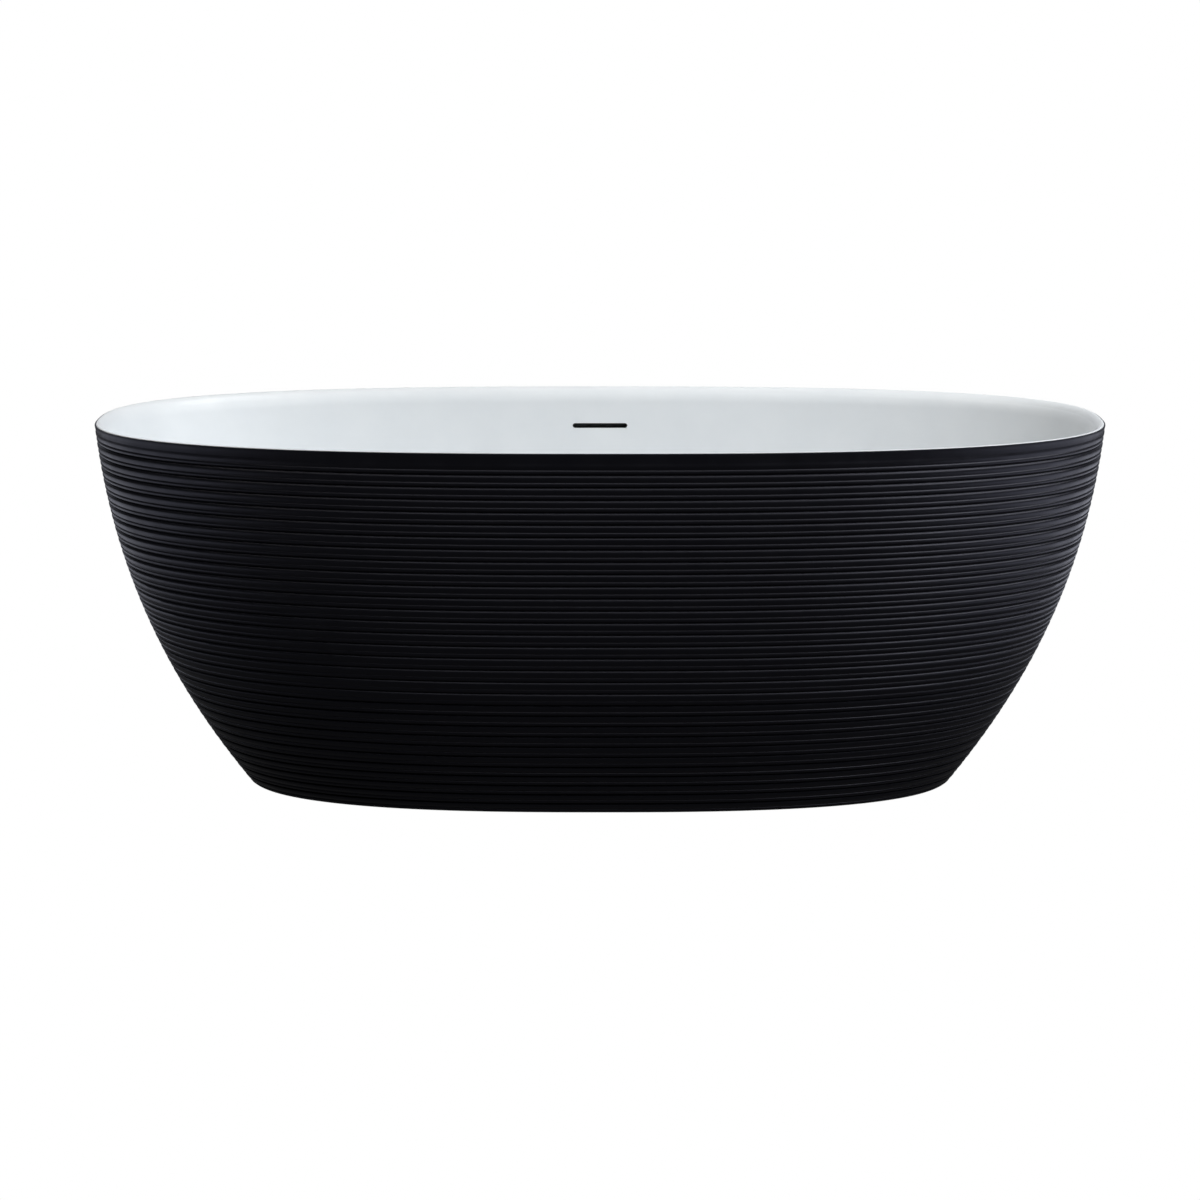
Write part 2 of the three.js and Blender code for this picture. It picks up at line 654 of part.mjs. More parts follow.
const railZ = (RAIL_TOP + RAIL_BOTTOM) / 2;
const crossbarZ = (CROSSBAR_TOP + CROSSBAR_BOTTOM) / 2;
addPiece('rail_front', rail(), paintedSteel(), [0, -RAIL_Y, railZ]);
addPiece('rail_back', rail(), paintedSteel(), [0, RAIL_Y, railZ]);
addPiece('crossbar_left', crossbar(), paintedSteel(), [-CROSSBAR_X, 0, crossbarZ]);
addPiece('crossbar_right', crossbar(), paintedSteel(), [CROSSBAR_X, 0, crossbarZ]);

const corners = [
  ['front_left', -1, -1], ['front_right', 1, -1], ['back_left', -1, 1], ['back_right', 1, 1],
];
for (const [corner, x, y] of corners) {
  const crossing = [x * CROSSBAR_X, y * RAIL_Y, 0];
  const foot = [x * FOOT_X, y * RAIL_Y, 0];
  addPiece(`frame_bolt_${corner}`, frameBolt(), zincSteel(), crossing);
  addPiece(`frame_nut_${corner}`, frameNut(), zincSteel(), crossing);
  addPiece(`shell_bracket_${corner}`, shellBracket(y), zincSteel(), [x * CROSSBAR_X, 0, 0]);
  addPiece(`foot_pad_${corner}`, footPad(), rubber(), foot);
  addPiece(`foot_stud_${corner}`, footStud(), zincSteel(), foot);
  addPiece(`foot_jam_nut_${corner}`, jamNut(), zincSteel(), foot);
}

addPiece('waste_flange', wasteFlange(), chrome());
addPiece('waste_seal_upper', washer(26.5, 34, RECESS_FLOOR + GAP, RECESS_FLOOR + GAP + 1.2), rubber());
addPiece('waste_seal_lower',
  washer(30, 41, BODY_TOP + GAP, FLOOR_UNDERSIDE - GAP), rubber());
addPiece('waste_body', wasteBody(), whitePlastic());
addPiece('plug_cap', plugCap(), chrome());
addPiece('plug_seal', washer(22.5, 29, FLANGE_TOP + GAP, FLANGE_TOP + GAP + 1.4, 32), rubber());
addPiece('plug_stem', plugStem(), brass());
addPiece('clicker_sleeve', clickerSleeve(), brass());
addPiece('clicker_spring', clickerSpring(), zincSteel());

addPiece('trap_inlet_nut', unionNut(DRAIN_PIPE_RADIUS, 22), whitePlastic(), [0, 0, 56]);
addPiece('trap_bend', trapBend(), whitePlastic());
addPiece('trap_outlet_nut', unionNut(DRAIN_PIPE_RADIUS, 20).rotateX(Math.PI / 2), whitePlastic(),
  [0, TRAP_END_Y + 9, OUTLET_Z]);
addPiece('outlet_pipe', outletPipe(), whitePlastic(), [0, 0, OUTLET_Z]);

addPiece('overflow_gasket', overflowGasket(), rubber());
addPiece('overflow_box', overflowBox(), blackPlastic());
addPiece('overflow_funnel', overflowFunnel(), whitePlastic());
addPiece('overflow_pipe', overflowPipe(), whitePlastic());
addPiece('overflow_inlet_nut', overflowNut(), blackPlastic());

export default tub;
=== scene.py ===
# %% [markdown]
# # A freestanding double-skin bathtub
# A white acrylic basin stands inside a black ribbed shell. Under it are a bolted steel frame, four
# levelling feet, a pop-up waste with its trap, and an overflow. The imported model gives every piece
# its place; this lesson remakes each one as a fine mesh and gives it its finish.

# %% Load the frame
import math

import bmesh
import bpy
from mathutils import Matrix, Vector


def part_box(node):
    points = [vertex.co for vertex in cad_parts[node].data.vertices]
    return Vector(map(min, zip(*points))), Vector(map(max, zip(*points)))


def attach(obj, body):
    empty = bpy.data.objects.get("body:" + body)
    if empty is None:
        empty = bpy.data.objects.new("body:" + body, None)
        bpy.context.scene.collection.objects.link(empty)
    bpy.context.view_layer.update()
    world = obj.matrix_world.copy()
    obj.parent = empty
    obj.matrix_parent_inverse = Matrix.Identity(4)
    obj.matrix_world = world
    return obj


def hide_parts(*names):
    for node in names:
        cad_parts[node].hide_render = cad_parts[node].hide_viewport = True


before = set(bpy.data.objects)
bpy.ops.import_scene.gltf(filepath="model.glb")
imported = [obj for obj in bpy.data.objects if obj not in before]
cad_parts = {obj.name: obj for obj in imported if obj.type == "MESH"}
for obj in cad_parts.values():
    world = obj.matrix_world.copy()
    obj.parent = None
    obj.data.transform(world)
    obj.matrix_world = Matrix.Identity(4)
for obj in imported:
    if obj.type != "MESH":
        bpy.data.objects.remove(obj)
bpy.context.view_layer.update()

MM = 0.001

# %% [markdown]
# ## Camera
# A tub is shown from a little above the rim, far enough away that its long oval stays calm. A long
# lens does that; a wide one would swell the front wall and hide the basin behind it.

# %% Camera
CAMERA_DISTANCE = 5.4185
CAMERA_HEIGHT = 1.3597
CAMERA_TILT = math.radians(11.235)
LENS = 102.86

lens = bpy.data.cameras.new("studio_camera")
lens.lens = LENS
lens.sensor_width = 36
camera = bpy.data.objects.new("studio_camera", lens)
camera.location = (0, -CAMERA_DISTANCE, CAMERA_HEIGHT)
camera.rotation_euler = (math.pi / 2 - CAMERA_TILT, 0, 0)
bpy.context.scene.collection.objects.link(camera)
bpy.context.scene.camera = camera
print("camera", CAMERA_DISTANCE, "m in front, lens", LENS, "mm")

# %% [markdown]
# ## Making a skin from rings
# Almost every piece of a tub is a drawn, turned or extruded skin. All of them can be made the same
# way: rings of points, joined to their neighbours by strips of faces. A lathe piece has round
# rings, a pipe has rings along its route, and the tub itself has oval ones.

# %% Rings to skins
SHARP = math.radians(38)


def shade(build):
    """Shades a bmesh smooth and keeps its hard edges."""
    for face in build.faces:
        face.smooth = True
    for edge in build.edges:
        edge.smooth = not edge.is_manifold or edge.calc_face_angle(0) < SHARP


def finish_mesh(name, build):
    """Turns a bmesh into an object of its own."""
    bmesh.ops.remove_doubles(build, verts=build.verts, dist=1e-6)
    bmesh.ops.dissolve_degenerate(build, dist=1e-7, edges=build.edges)
    bmesh.ops.recalc_face_normals(build, faces=build.faces)
    shade(build)
    mesh = bpy.data.meshes.new(name)
    build.to_mesh(mesh)
    build.free()
    piece = bpy.data.objects.new(name, mesh)
    bpy.context.scene.collection.objects.link(piece)
    return piece


def skin(name, rings, loops_back=False):
    """A closed skin over rings of equal length. Open ends are capped."""
    build = bmesh.new()
    verts = [[build.verts.new(point) for point in ring] for ring in rings]
    pairs = list(zip(verts, verts[1:]))
    if loops_back:
        pairs.append((verts[-1], verts[0]))
    for here, there in pairs:
        for i in range(len(here)):
            build.faces.new((here[i - 1], here[i], there[i], there[i - 1]))
    if not loops_back:
        build.faces.new(verts[0][::-1])
        build.faces.new(verts[-1])
    return finish_mesh(name, build)


def combine(piece, others, operation):
    """Solves a boolean between a piece and others, then clears the others away."""
    for other in others:
        step = piece.modifiers.new("solid", "BOOLEAN")
        step.object = other
        step.operation = operation
        step.solver = "EXACT"
    bpy.context.view_layer.update()
    solved = piece.evaluated_get(bpy.context.evaluated_depsgraph_get())
    build = bmesh.new()
    build.from_mesh(solved.to_mesh())
    solved.to_mesh_clear()
    piece.modifiers.clear()
    bmesh.ops.dissolve_degenerate(build, dist=1e-7, edges=build.edges)
    shade(build)
    build.to_mesh(piece.data)
    build.free()
    for other in others:
        bpy.data.objects.remove(other)
    return piece


def carve(piece, *cutters):
    """Cuts the cutters out of a piece."""
    return combine(piece, cutters, "DIFFERENCE")


def weld(piece, *others):
    """Joins the others into a piece as one solid."""
    return combine(piece, others, "UNION")


def coat(piece, material):
    piece.data.materials.clear()
    piece.data.materials.append(material)


def settle(piece, material, body, node):
    """Gives a piece its finish and its body, and hides the CAD node it replaces."""
    coat(piece, material)
    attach(piece, body)
    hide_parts(node)
    print(piece.name, "rides on", body, "with", len(piece.data.polygons), "faces")


# %% Turned, hexagonal and bent pieces
def soften(points, radius, closed=False, steps=4):
    """Rounds the corners of an outline given in millimetres."""
    rounded = []
    count = len(points)
    for i, point in enumerate(points):
        if not closed and i in (0, count - 1):
            rounded.append(point)
            continue
        corner = Vector(point)
        before = Vector(points[i - 1]) - corner
        after = Vector(points[(i + 1) % count]) - corner
        start = corner + before.normalized() * min(radius, before.length * 0.45)
        end = corner + after.normalized() * min(radius, after.length * 0.45)
        for k in range(steps + 1):
            t = k / steps
            rounded.append(tuple((1 - t) ** 2 * start + 2 * t * (1 - t) * corner + t * t * end))
    return rounded


def turns_of(columns):
    """The angles of evenly spaced points round a circle."""
    return [2 * math.pi * i / columns for i in range(columns)]


def circle(radius, height, columns, at=(0, 0)):
    return [Vector((at[0] + radius * math.cos(a), at[1] + radius * math.sin(a), height)) * MM
            for a in turns_of(columns)]


def turned(name, profile, at=(0, 0), closed=False, columns=72):
    """A lathe piece: profile points are radius and height in millimetres, at is its axis."""
    rings = [circle(radius, height, columns, at) for radius, height in profile]
    return skin(name, rings, loops_back=closed)


def ring_of(name, inner, outer, bottom, top, at=(0, 0), edge=0.5, columns=72):
    profile = [(inner, bottom), (outer, bottom), (outer, top), (inner, top)]
    return turned(name, soften(profile, edge, closed=True), at, True, columns)


def across_hexagon(flats, turn):
    sixth = math.pi / 3
    return flats / 2 / math.cos(turn % sixth - sixth / 2)


def nut(name, flats, bottom, top, bore, at):
    """A hexagon whose corners are chamfered as they are turned on a lathe."""
    columns = 48
    lead = 0.6
    slope = math.tan(math.radians(30))

    def hexagon_ring(height, way):
        ring = []
        for turn in turns_of(columns):
            reach = across_hexagon(flats, turn)
            drop = way * (reach - flats / 2) * slope
            ring.append((reach * math.cos(turn), reach * math.sin(turn), height + drop))
        return [Vector((x + at[0], y + at[1], z)) * MM for x, y, z in ring]

    rings = [circle(flats / 2, bottom, columns, at), hexagon_ring(bottom, 1),
             hexagon_ring(top, -1), circle(flats / 2, top, columns, at)]
    if not bore:
        return skin(name, rings)
    rings += [circle(bore + lead, top, columns, at), circle(bore, top - lead, columns, at),
              circle(bore, bottom + lead, columns, at), circle(bore + lead, bottom, columns, at)]
    return skin(name, rings, loops_back=True)


def threaded(name, radius, pitch, bottom, top, at):
    """A stud whose ridge winds round it, because each column starts a little later."""
    columns, steps = 24, 6
    depth = pitch / 2
    count = round((top - bottom) / pitch * steps)
    rings = []
    for level in range(count + 1):
        height = bottom + (top - bottom) * level / count
        fade = min(1, (height - bottom) / pitch, (top - height) / pitch)
        ring = []
        for i in range(columns):
            wave = abs(((height / pitch - i / columns) % 1) * 2 - 1)
            reach = radius - depth * wave * fade - depth * (1 - fade)
            turn = 2 * math.pi * i / columns
            ring.append(Vector((at[0] + reach * math.cos(turn), at[1] + reach * math.sin(turn),
                                height)) * MM)
        rings.append(ring)
    return skin(name, rings)


def pipe(name, route, outer, inner=0, columns=40):
    """A pipe along a route in the upright plane through the tub's middle, in millimetres."""
    stations = []
    for i, point in enumerate(route):
        back = route[max(i - 1, 0)]
        ahead = route[min(i + 1, len(route) - 1)]
        along = (Vector(ahead) - Vector(back)).normalized()
        stations.append((Vector(point), Vector((0, -along.z, along.y))))

    def ring(station, radius):
        middle, across = station
        return [(middle + radius * (math.cos(a) * Vector((1, 0, 0)) + math.sin(a) * across)) * MM
                for a in turns_of(columns)]

    rings = [ring(station, outer) for station in stations]
    if not inner:
        return skin(name, rings)
    rings += [ring(station, inner) for station in reversed(stations)]
    return skin(name, rings, loops_back=True)


def block(name, low, high, edge=1.0, steps=3):
    """A box with rounded edges, from two corners in millimetres."""
    build = bmesh.new()
    bmesh.ops.create_cube(build, size=1)
    middle = (Vector(low) + Vector(high)) / 2
    size = Vector(high) - Vector(low)
    for vert in build.verts:
        vert.co = Vector((vert.co[k] * size[k] + middle[k] for k in range(3))) * MM
    bmesh.ops.bevel(build, geom=build.edges[:], offset=edge * MM, segments=steps, profile=0.5,
                    affect="EDGES", clamp_overlap=True)
    return finish_mesh(name, build)


def strip(name, outline, half_width, middle_x):
    """A plate extruded along X from an outline of (y, z) points in millimetres."""
    edge = 0.4
    build = bmesh.new()
    for x in (middle_x - half_width, middle_x + half_width):
        for y, z in outline:
            build.verts.new(Vector((x, y, z)) * MM)
    build.verts.ensure_lookup_table()
    count = len(outline)
    build.faces.new(build.verts[:count])
    build.faces.new(build.verts[count:])
    for i in range(count):
        j = (i + 1) % count
        build.faces.new([build.verts[k] for k in (i, j, count + j, count + i)])
    bmesh.ops.recalc_face_normals(build, faces=build.faces)
    rims = [e for e in build.edges if e.calc_face_angle(0) > SHARP]
    bmesh.ops.bevel(build, geom=rims, offset=edge * MM, segments=2, profile=0.5, affect="EDGES")
    return finish_mesh(name, build)


def corners_of(node):
    """A node's lowest and highest corners, in millimetres."""
    return [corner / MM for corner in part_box(node)]


def levels_of(node):
    """A node's lowest and highest level, in millimetres."""
    return [corner.z for corner in corners_of(node)]


def axis_of(node):
    """The middle of a node in plan, in millimetres."""
    low, high = corners_of(node)
    return (low.x + high.x) / 2, (low.y + high.y) / 2


# %% [markdown]
# ## Finishes
# Each finish starts from what the material is and how its surface was made. Patterns are worked
# out from sizes in millimetres on the piece itself, so they stay put from every side.

# %% Colour and node helpers
def srgb(hex_colour):
    """An sRGB hex colour as linear red, green, blue and alpha."""
    channels = [int(hex_colour[i:i + 2], 16) / 255 for i in (1, 3, 5)]
    linear = [c / 12.92 if c <= 0.04045 else ((c + 0.055) / 1.055) ** 2.4 for c in channels]
    return (*linear, 1.0)


def add(tree, kind, inputs=None, **settings):
    """Adds a node with its settings; an input takes a value or the socket that feeds it."""
    made = tree.nodes.new(kind)
    for name, value in settings.items():
        setattr(made, name, value)
    for socket, value in (inputs or {}).items():
        if isinstance(value, bpy.types.NodeSocket):
            tree.links.new(value, made.inputs[socket])
        else:
            made.inputs[socket].default_value = value
    return made


def start_finish(name, **shader_values):
    """A material with a principled shader whose constant values are set on its own sockets."""
    material = bpy.data.materials.new(name)
    material.use_nodes = True
    tree = material.node_tree
    shader = tree.nodes["Principled BSDF"]
    for socket, value in shader_values.items():
        shader.inputs[socket.replace("_", " ")].default_value = value
    place = add(tree, "ShaderNodeTexCoord").outputs["Object"]
    return material, tree, shader, place


def per_metre(millimetres):
    """The scale of a pattern whose features are that many millimetres apart."""
    return 1000 / millimetres


def per_band(millimetres):
    """The scale of a wave pattern with one band in that many millimetres: 20 radians to a unit."""
    return per_metre(millimetres) * 2 * math.pi / 20


def wear_colour(tree, shader, place, light, dark, patch):
    """Drifts the base colour between two close tones over patches of a given size."""
    cloud = add(tree, "ShaderNodeTexNoise",
                {"Vector": place, "Scale": per_metre(patch), "Detail": 3.0})
    tones = add(tree, "ShaderNodeMix", {"Factor": cloud.outputs["Fac"], "A": srgb(dark),
                                        "B": srgb(light)}, data_type="RGBA")
    tree.links.new(tones.outputs[2], shader.inputs["Base Color"])


def wear_gloss(tree, shader, place, smoothest, roughest, patch):
    """Drifts the roughness between two values over patches of a given size."""
    cloud = add(tree, "ShaderNodeTexNoise",
                {"Vector": place, "Scale": per_metre(patch), "Detail": 4.0})
    spread = add(tree, "ShaderNodeMapRange", {"Value": cloud.outputs["Fac"], "From Min": 0.3,
                                              "From Max": 0.7, "To Min": smoothest,
                                              "To Max": roughest})
    tree.links.new(spread.outputs["Result"], shader.inputs["Roughness"])


def relief(tree, shader, height, depth, strength):
    """Feeds a height pattern to the surface as bump, depth in millimetres."""
    bump = add(tree, "ShaderNodeBump", {"Height": height, "Strength": strength,
                                        "Distance": depth * MM})
    tree.links.new(bump.outputs["Normal"], shader.inputs["Normal"])


def roughen(tree, shader, place, grain, depth, strength, detail=2.0):
    """Raises an uneven grain of a given size, in millimetres, as relief."""
    cloud = add(tree, "ShaderNodeTexNoise",
                {"Vector": place, "Scale": per_metre(grain), "Detail": detail})
    relief(tree, shader, cloud.outputs["Fac"], depth, strength)


# %% [markdown]
# ### White sanitary acrylic
# The basin is drawn from cast acrylic sheet. It is glossy, but the mould and the drawing leave a
# very fine pebble on it, so it shines softly. A coat layer could imitate it, but plain gloss with
# a fine bump already does.

# %% White sanitary acrylic
ACRYLIC_PEBBLE = 1.6   # the real pebble is finer, drawn coarse enough to show
acrylic, tree, shader, place = start_finish("white_drawn_acrylic", IOR=1.49)
wear_colour(tree, shader, place, "#EEF1F3", "#E6EAED", 60)
wear_gloss(tree, shader, place, 0.30, 0.40, 25)
roughen(tree, shader, place, ACRYLIC_PEBBLE, 0.05, 0.6)

# %% [markdown]
# ### Black satin gel coat
# The ribbed shell comes out of a mould with a pigmented gel coat and is rubbed down to a satin.
# It is almost black with a trace of blue, and it only lights up where it is seen edge on.

# %% Black satin gel coat
GEL_COAT_PEEL = 2.2    # the real orange peel is finer, drawn coarse enough to show
gel_coat, tree, shader, place = start_finish(
    "black_satin_gel_coat", IOR=1.5, Specular_Tint=(0.84, 0.84, 1.0, 1.0))
wear_colour(tree, shader, place, "#09090F", "#07070C", 45)
wear_gloss(tree, shader, place, 0.34, 0.44, 30)
roughen(tree, shader, place, GEL_COAT_PEEL, 0.06, 0.5)

# %% [markdown]
# ### The hidden pieces' finishes
# Frame, feet and waste are bought-in parts: powder-coated tube, zinc-plated hardware, chrome and
# turned brass, injection-moulded plastic, moulded rubber, birch plywood and a bead of adhesive.

# %% Powder coat and zinc plate
powder_coat, tree, shader, place = start_finish("charcoal_powder_coat")
wear_colour(tree, shader, place, "#3A3D41", "#303236", 20)
wear_gloss(tree, shader, place, 0.42, 0.55, 12)
POWDER_GRIT = 0.9      # baked powder keeps a fine leathery texture, drawn coarse enough to show
roughen(tree, shader, place, POWDER_GRIT, 0.08, 0.8, 3.0)

zinc_plate, tree, shader, place = start_finish("zinc_plated_steel", Metallic=1.0)
wear_colour(tree, shader, place, "#C6CBCE", "#A2A6A4", 6)
wear_gloss(tree, shader, place, 0.22, 0.42, 4)
ZINC_CRYSTAL = 1.5     # plated crystals give a dull, uneven shine, drawn coarse enough to show
spangle = add(tree, "ShaderNodeTexVoronoi", {"Vector": place, "Scale": per_metre(ZINC_CRYSTAL)})
relief(tree, shader, spangle.outputs["Distance"], 0.03, 0.4)

spring_wire, tree, shader, place = start_finish("drawn_spring_wire", Metallic=1.0)
wear_colour(tree, shader, place, "#A9ADB0", "#8D9194", 3)
wear_gloss(tree, shader, place, 0.2, 0.32, 2)
DIE_LINE = 0.4         # the die leaves lines that are too fine to see one by one
roughen(tree, shader, place, DIE_LINE, 0.02, 0.4)

# %% Chrome and turned brass
chrome, tree, shader, place = start_finish("polished_chrome", Metallic=1.0)
wear_colour(tree, shader, place, "#EFF1F3", "#E4E7EA", 15)
wear_gloss(tree, shader, place, 0.05, 0.12, 10)
BUFFED_WAVE = 3.0      # a buffed plate is never quite flat
roughen(tree, shader, place, BUFFED_WAVE, 0.01, 0.3, 3.0)

brass, tree, shader, place = start_finish("turned_brass", Metallic=1.0)
wear_colour(tree, shader, place, "#D2AE62", "#B08A42", 8)
wear_gloss(tree, shader, place, 0.18, 0.34, 5)
LATHE_FEED = 1.58      # the tool leaves much finer rings round the bar, drawn coarse enough to show
lathe_lines = add(tree, "ShaderNodeTexWave",
                  {"Vector": place, "Scale": per_band(LATHE_FEED), "Distortion": 0.4},
                  wave_type="BANDS", bands_direction="Z")
relief(tree, shader, lathe_lines.outputs["Fac"], 0.03, 0.5)

# %% Moulded plastics and rubber
SPARK_GRAIN = 0.7      # a spark-eroded tool's grain, drawn coarse enough to show


def moulded(name, light, dark, smoothest, roughest, spark=SPARK_GRAIN, **values):
    """An injection-moulded finish: the tool leaves a fine even grain on it."""
    material, tree, shader, place = start_finish(name, **values)
    wear_colour(tree, shader, place, light, dark, 18)
    wear_gloss(tree, shader, place, smoothest, roughest, 9)
    roughen(tree, shader, place, spark, 0.04, 0.6)
    return material


white_plastic = moulded("white_moulded_polypropylene", "#EDEDE8", "#E1E1DB", 0.38, 0.5, IOR=1.49)
black_plastic = moulded("black_moulded_abs", "#121213", "#0B0B0C", 0.5, 0.62, IOR=1.53)
rubber = moulded("black_moulded_rubber", "#1D1D1E", "#141415", 0.7, 0.85, 1.1, IOR=1.52)
sealant = moulded("cream_adhesive_sealant", "#E2DDD0", "#D5CFC0", 0.45, 0.6, 2.5, IOR=1.41)

# %% [markdown]
# ### Birch plywood
# The board is glued up from thin veneers. Its faces show long birch grain and its edge shows light
# and dark stripes. The stripes come from height alone, so they only read on the edge. They are
# drawn about twice as coarse as veneers are, so that they show.

# %% Birch plywood
PLY_STRIPE = 5.65      # one light and one dark stripe
BIRCH_GRAIN = 4.0
GRAIN_STRETCH = 0.08   # across over along: the grain runs along the board
plywood, tree, shader, place = start_finish("birch_plywood", IOR=1.5)
stretched = add(tree, "ShaderNodeMapping", {"Vector": place, "Scale": (GRAIN_STRETCH, 1.0, 1.0)})
grain = add(tree, "ShaderNodeTexNoise", {"Vector": stretched.outputs["Vector"],
                                         "Scale": per_metre(BIRCH_GRAIN), "Detail": 6.0})
layers = add(tree, "ShaderNodeTexWave", {"Vector": place, "Scale": per_band(PLY_STRIPE)},
             wave_type="BANDS", bands_direction="Z")
faces = add(tree, "ShaderNodeMix", {"Factor": grain.outputs["Fac"], "A": srgb("#A97F50"),
                                    "B": srgb("#D8B98C")}, data_type="RGBA")
edges = add(tree, "ShaderNodeMix", {"Factor": layers.outputs["Fac"], "A": srgb("#7C5530"),
                                    "B": faces.outputs[2]}, data_type="RGBA")
facing = add(tree, "ShaderNodeNewGeometry")
upright = add(tree, "ShaderNodeSeparateXYZ", {"Vector": facing.outputs["Normal"]})
flatness = add(tree, "ShaderNodeMath", {0: upright.outputs["Z"]}, operation="ABSOLUTE")
board_colour = add(tree, "ShaderNodeMix", {"Factor": flatness.outputs[0],
                                           "A": edges.outputs[2], "B": faces.outputs[2]},
                   data_type="RGBA")
tree.links.new(board_colour.outputs[2], shader.inputs["Base Color"])
wear_gloss(tree, shader, place, 0.6, 0.75, 12)
relief(tree, shader, grain.outputs["Fac"], 0.15, 0.5)


# %% [markdown]
# ## The tub's oval form
# Seen from above, every level of the tub is the same squared-off oval. Seen from the side, the
# walls follow one smooth curve at the ends and another at the front and back. A subdivision cage
# could be pulled to this shape by eye; a formula keeps the ribs level and the skins parallel.

# %% The oval and the wall curves
COLUMNS = 256
SQUARENESS = 2.6
LENGTH = 1600              # over the shell's crests
WIDTH = 750
HEIGHT = levels_of("inner_basin")[1]
FLOOR_TOP = 140            # the bathing floor
RIM_WIDTH = 15


def bezier(points, t):
    """The point at share t of the curve that three or four control points pull on."""
    last = len(points) - 1
    weights = [math.comb(last, k) * t ** k * (1 - t) ** (last - k) for k in range(last + 1)]
    return tuple(sum(w * p[k] for w, p in zip(weights, points)) for k in (0, 1))


def reach_at(points, height):
    """Half length or half width of a wall curve at a height, by halving the interval."""
    low, high = 0.0, 1.0
    for _ in range(30):
        middle = (low + high) / 2
        if bezier(points, middle)[1] < height:
            low = middle
        else:
            high = middle
    return bezier(points, (low + high) / 2)[0]


OUTER_END = ((564, 0), (704, 182), (778, 360), (LENGTH / 2, HEIGHT))
OUTER_SIDE = ((274, 0), (352, 165), (WIDTH / 2, 331), (WIDTH / 2, HEIGHT))
INNER_END = ((430, FLOOR_TOP), (640, FLOOR_TOP), (720, 330), (LENGTH / 2 - RIM_WIDTH, HEIGHT))
INNER_SIDE = ((185, FLOOR_TOP), (290, FLOOR_TOP), (322, 400), (WIDTH / 2 - RIM_WIDTH, HEIGHT))


def on_oval(half_length, half_width, turn, power=SQUARENESS):
    c, s = math.cos(turn), math.sin(turn)
    squeeze = (abs(c) ** power + abs(s) ** power) ** (-1 / power)
    return half_length * c * squeeze, half_width * s * squeeze


def oval_ring(half_length, half_width, height, power=SQUARENESS):
    ring = [on_oval(half_length, half_width, turn, power) for turn in turns_of(COLUMNS)]
    return [Vector((x, y, height)) * MM for x, y in ring]


# %% [markdown]
# ## The ribbed outer shell
# The shell is moulded with bands of ribs: a wide proud bead, a soft groove, a narrow bead set back
# a little, then a sharp notch. A bump map would leave the outline smooth, so the ribs are real
# rings. The bands lie a little higher at the two ends than at the front, as they do where a mould
# is lofted, and they crowd together towards the foot.

# %% Rib bands
PLAIN_BAND = 14.3          # smooth collar under the rim
BAND_INSET = 0.6           # the collar stands back from the ribs' crests
RIB_RUNS = ((20, 18.98, 1.0), (6, 17.35, 1.2), (5, 16.06, 1.35))   # count, pitch, deepening
NOTCH_DEPTH = 3.3
GROOVE_DEPTH = 1.3
NARROW_SETBACK = 0.2
CREST = 0.42               # the crest lies a little above a bead's middle
BEAD_ROUNDNESS = 2.5       # 2 would be a plain arc, more is flatter on top
WIDE_SHARE = 0.62          # of each band's height
END_RISE = 8.5             # how much higher the bands lie at the ends
RISE_FADE = 90             # the rise fades out over this height above the floor
SKIRT = 2.0                # the shell's foot stays this far off the floor
SHELL_WALL = 5.0
BEAD_STEPS = (7, 6)        # rings over a wide and over a narrow bead


def fall(u):
    """How far a bead has fallen from its crest (0) to its foot (1), u running down across it."""
    away = (CREST - u) / CREST if u < CREST else (u - CREST) / (1 - CREST)
    return away ** BEAD_ROUNDNESS


def rib_depth(share):
    """How far the surface lies inside the crests, going down one band from its notch."""
    if share < WIDE_SHARE:
        u = share / WIDE_SHARE
        foot = NOTCH_DEPTH + (GROOVE_DEPTH - NOTCH_DEPTH) * u
        return foot * fall(u)
    u = (share - WIDE_SHARE) / (1 - WIDE_SHARE)
    foot = GROOVE_DEPTH + (NOTCH_DEPTH - GROOVE_DEPTH) * u
    return NARROW_SETBACK + (foot - NARROW_SETBACK) * fall(u)


def eased(steps):
    """Shares from 0 to just under 1, closer together at both ends."""
    return [(1 - math.cos(math.pi * k / steps)) / 2 for k in range(steps)]


def outside_levels():
    """Heights and depths of the shell's outside, from the rim down."""
    levels = [(HEIGHT - 1.0, 1.0), (HEIGHT - 1.5, 0.2), (HEIGHT - 2.6, 0.0)]
    levels += [(HEIGHT - 6, BAND_INSET * 0.6), (HEIGHT - 10, BAND_INSET)]
    top = HEIGHT - PLAIN_BAND
    first = True
    for count, pitch, deepening in RIB_RUNS:
        for _ in range(count):
            shares = [WIDE_SHARE * u for u in eased(BEAD_STEPS[0])]
            shares += [WIDE_SHARE + (1 - WIDE_SHARE) * u for u in eased(BEAD_STEPS[1])]
            for share in shares:
                depth = rib_depth(share) * deepening
                if first and share < WIDE_SHARE / 2:
                    depth = min(depth, BAND_INSET)
                levels.append((top - share * pitch, depth))
            first = False
            top -= pitch
    levels = [(z, d) for z, d in levels if z > SKIRT + 1]
    return levels + [(SKIRT + 0.8, levels[-1][1] + 0.4), (SKIRT, levels[-1][1] + 1.2)]


def lift(turn, height):
    """How far a band is raised at this side of the tub."""
    _, across = on_oval(1, 1, turn)
    towards_end = 1 - math.sqrt(across ** 2 + 0.02) / math.sqrt(1.02)
    fade_low = min(1, max(0, (height - SKIRT) / RISE_FADE))
    fade_top = min(1, max(0, (HEIGHT - 4 - height) / PLAIN_BAND))
    return END_RISE * towards_end * fade_low * fade_top


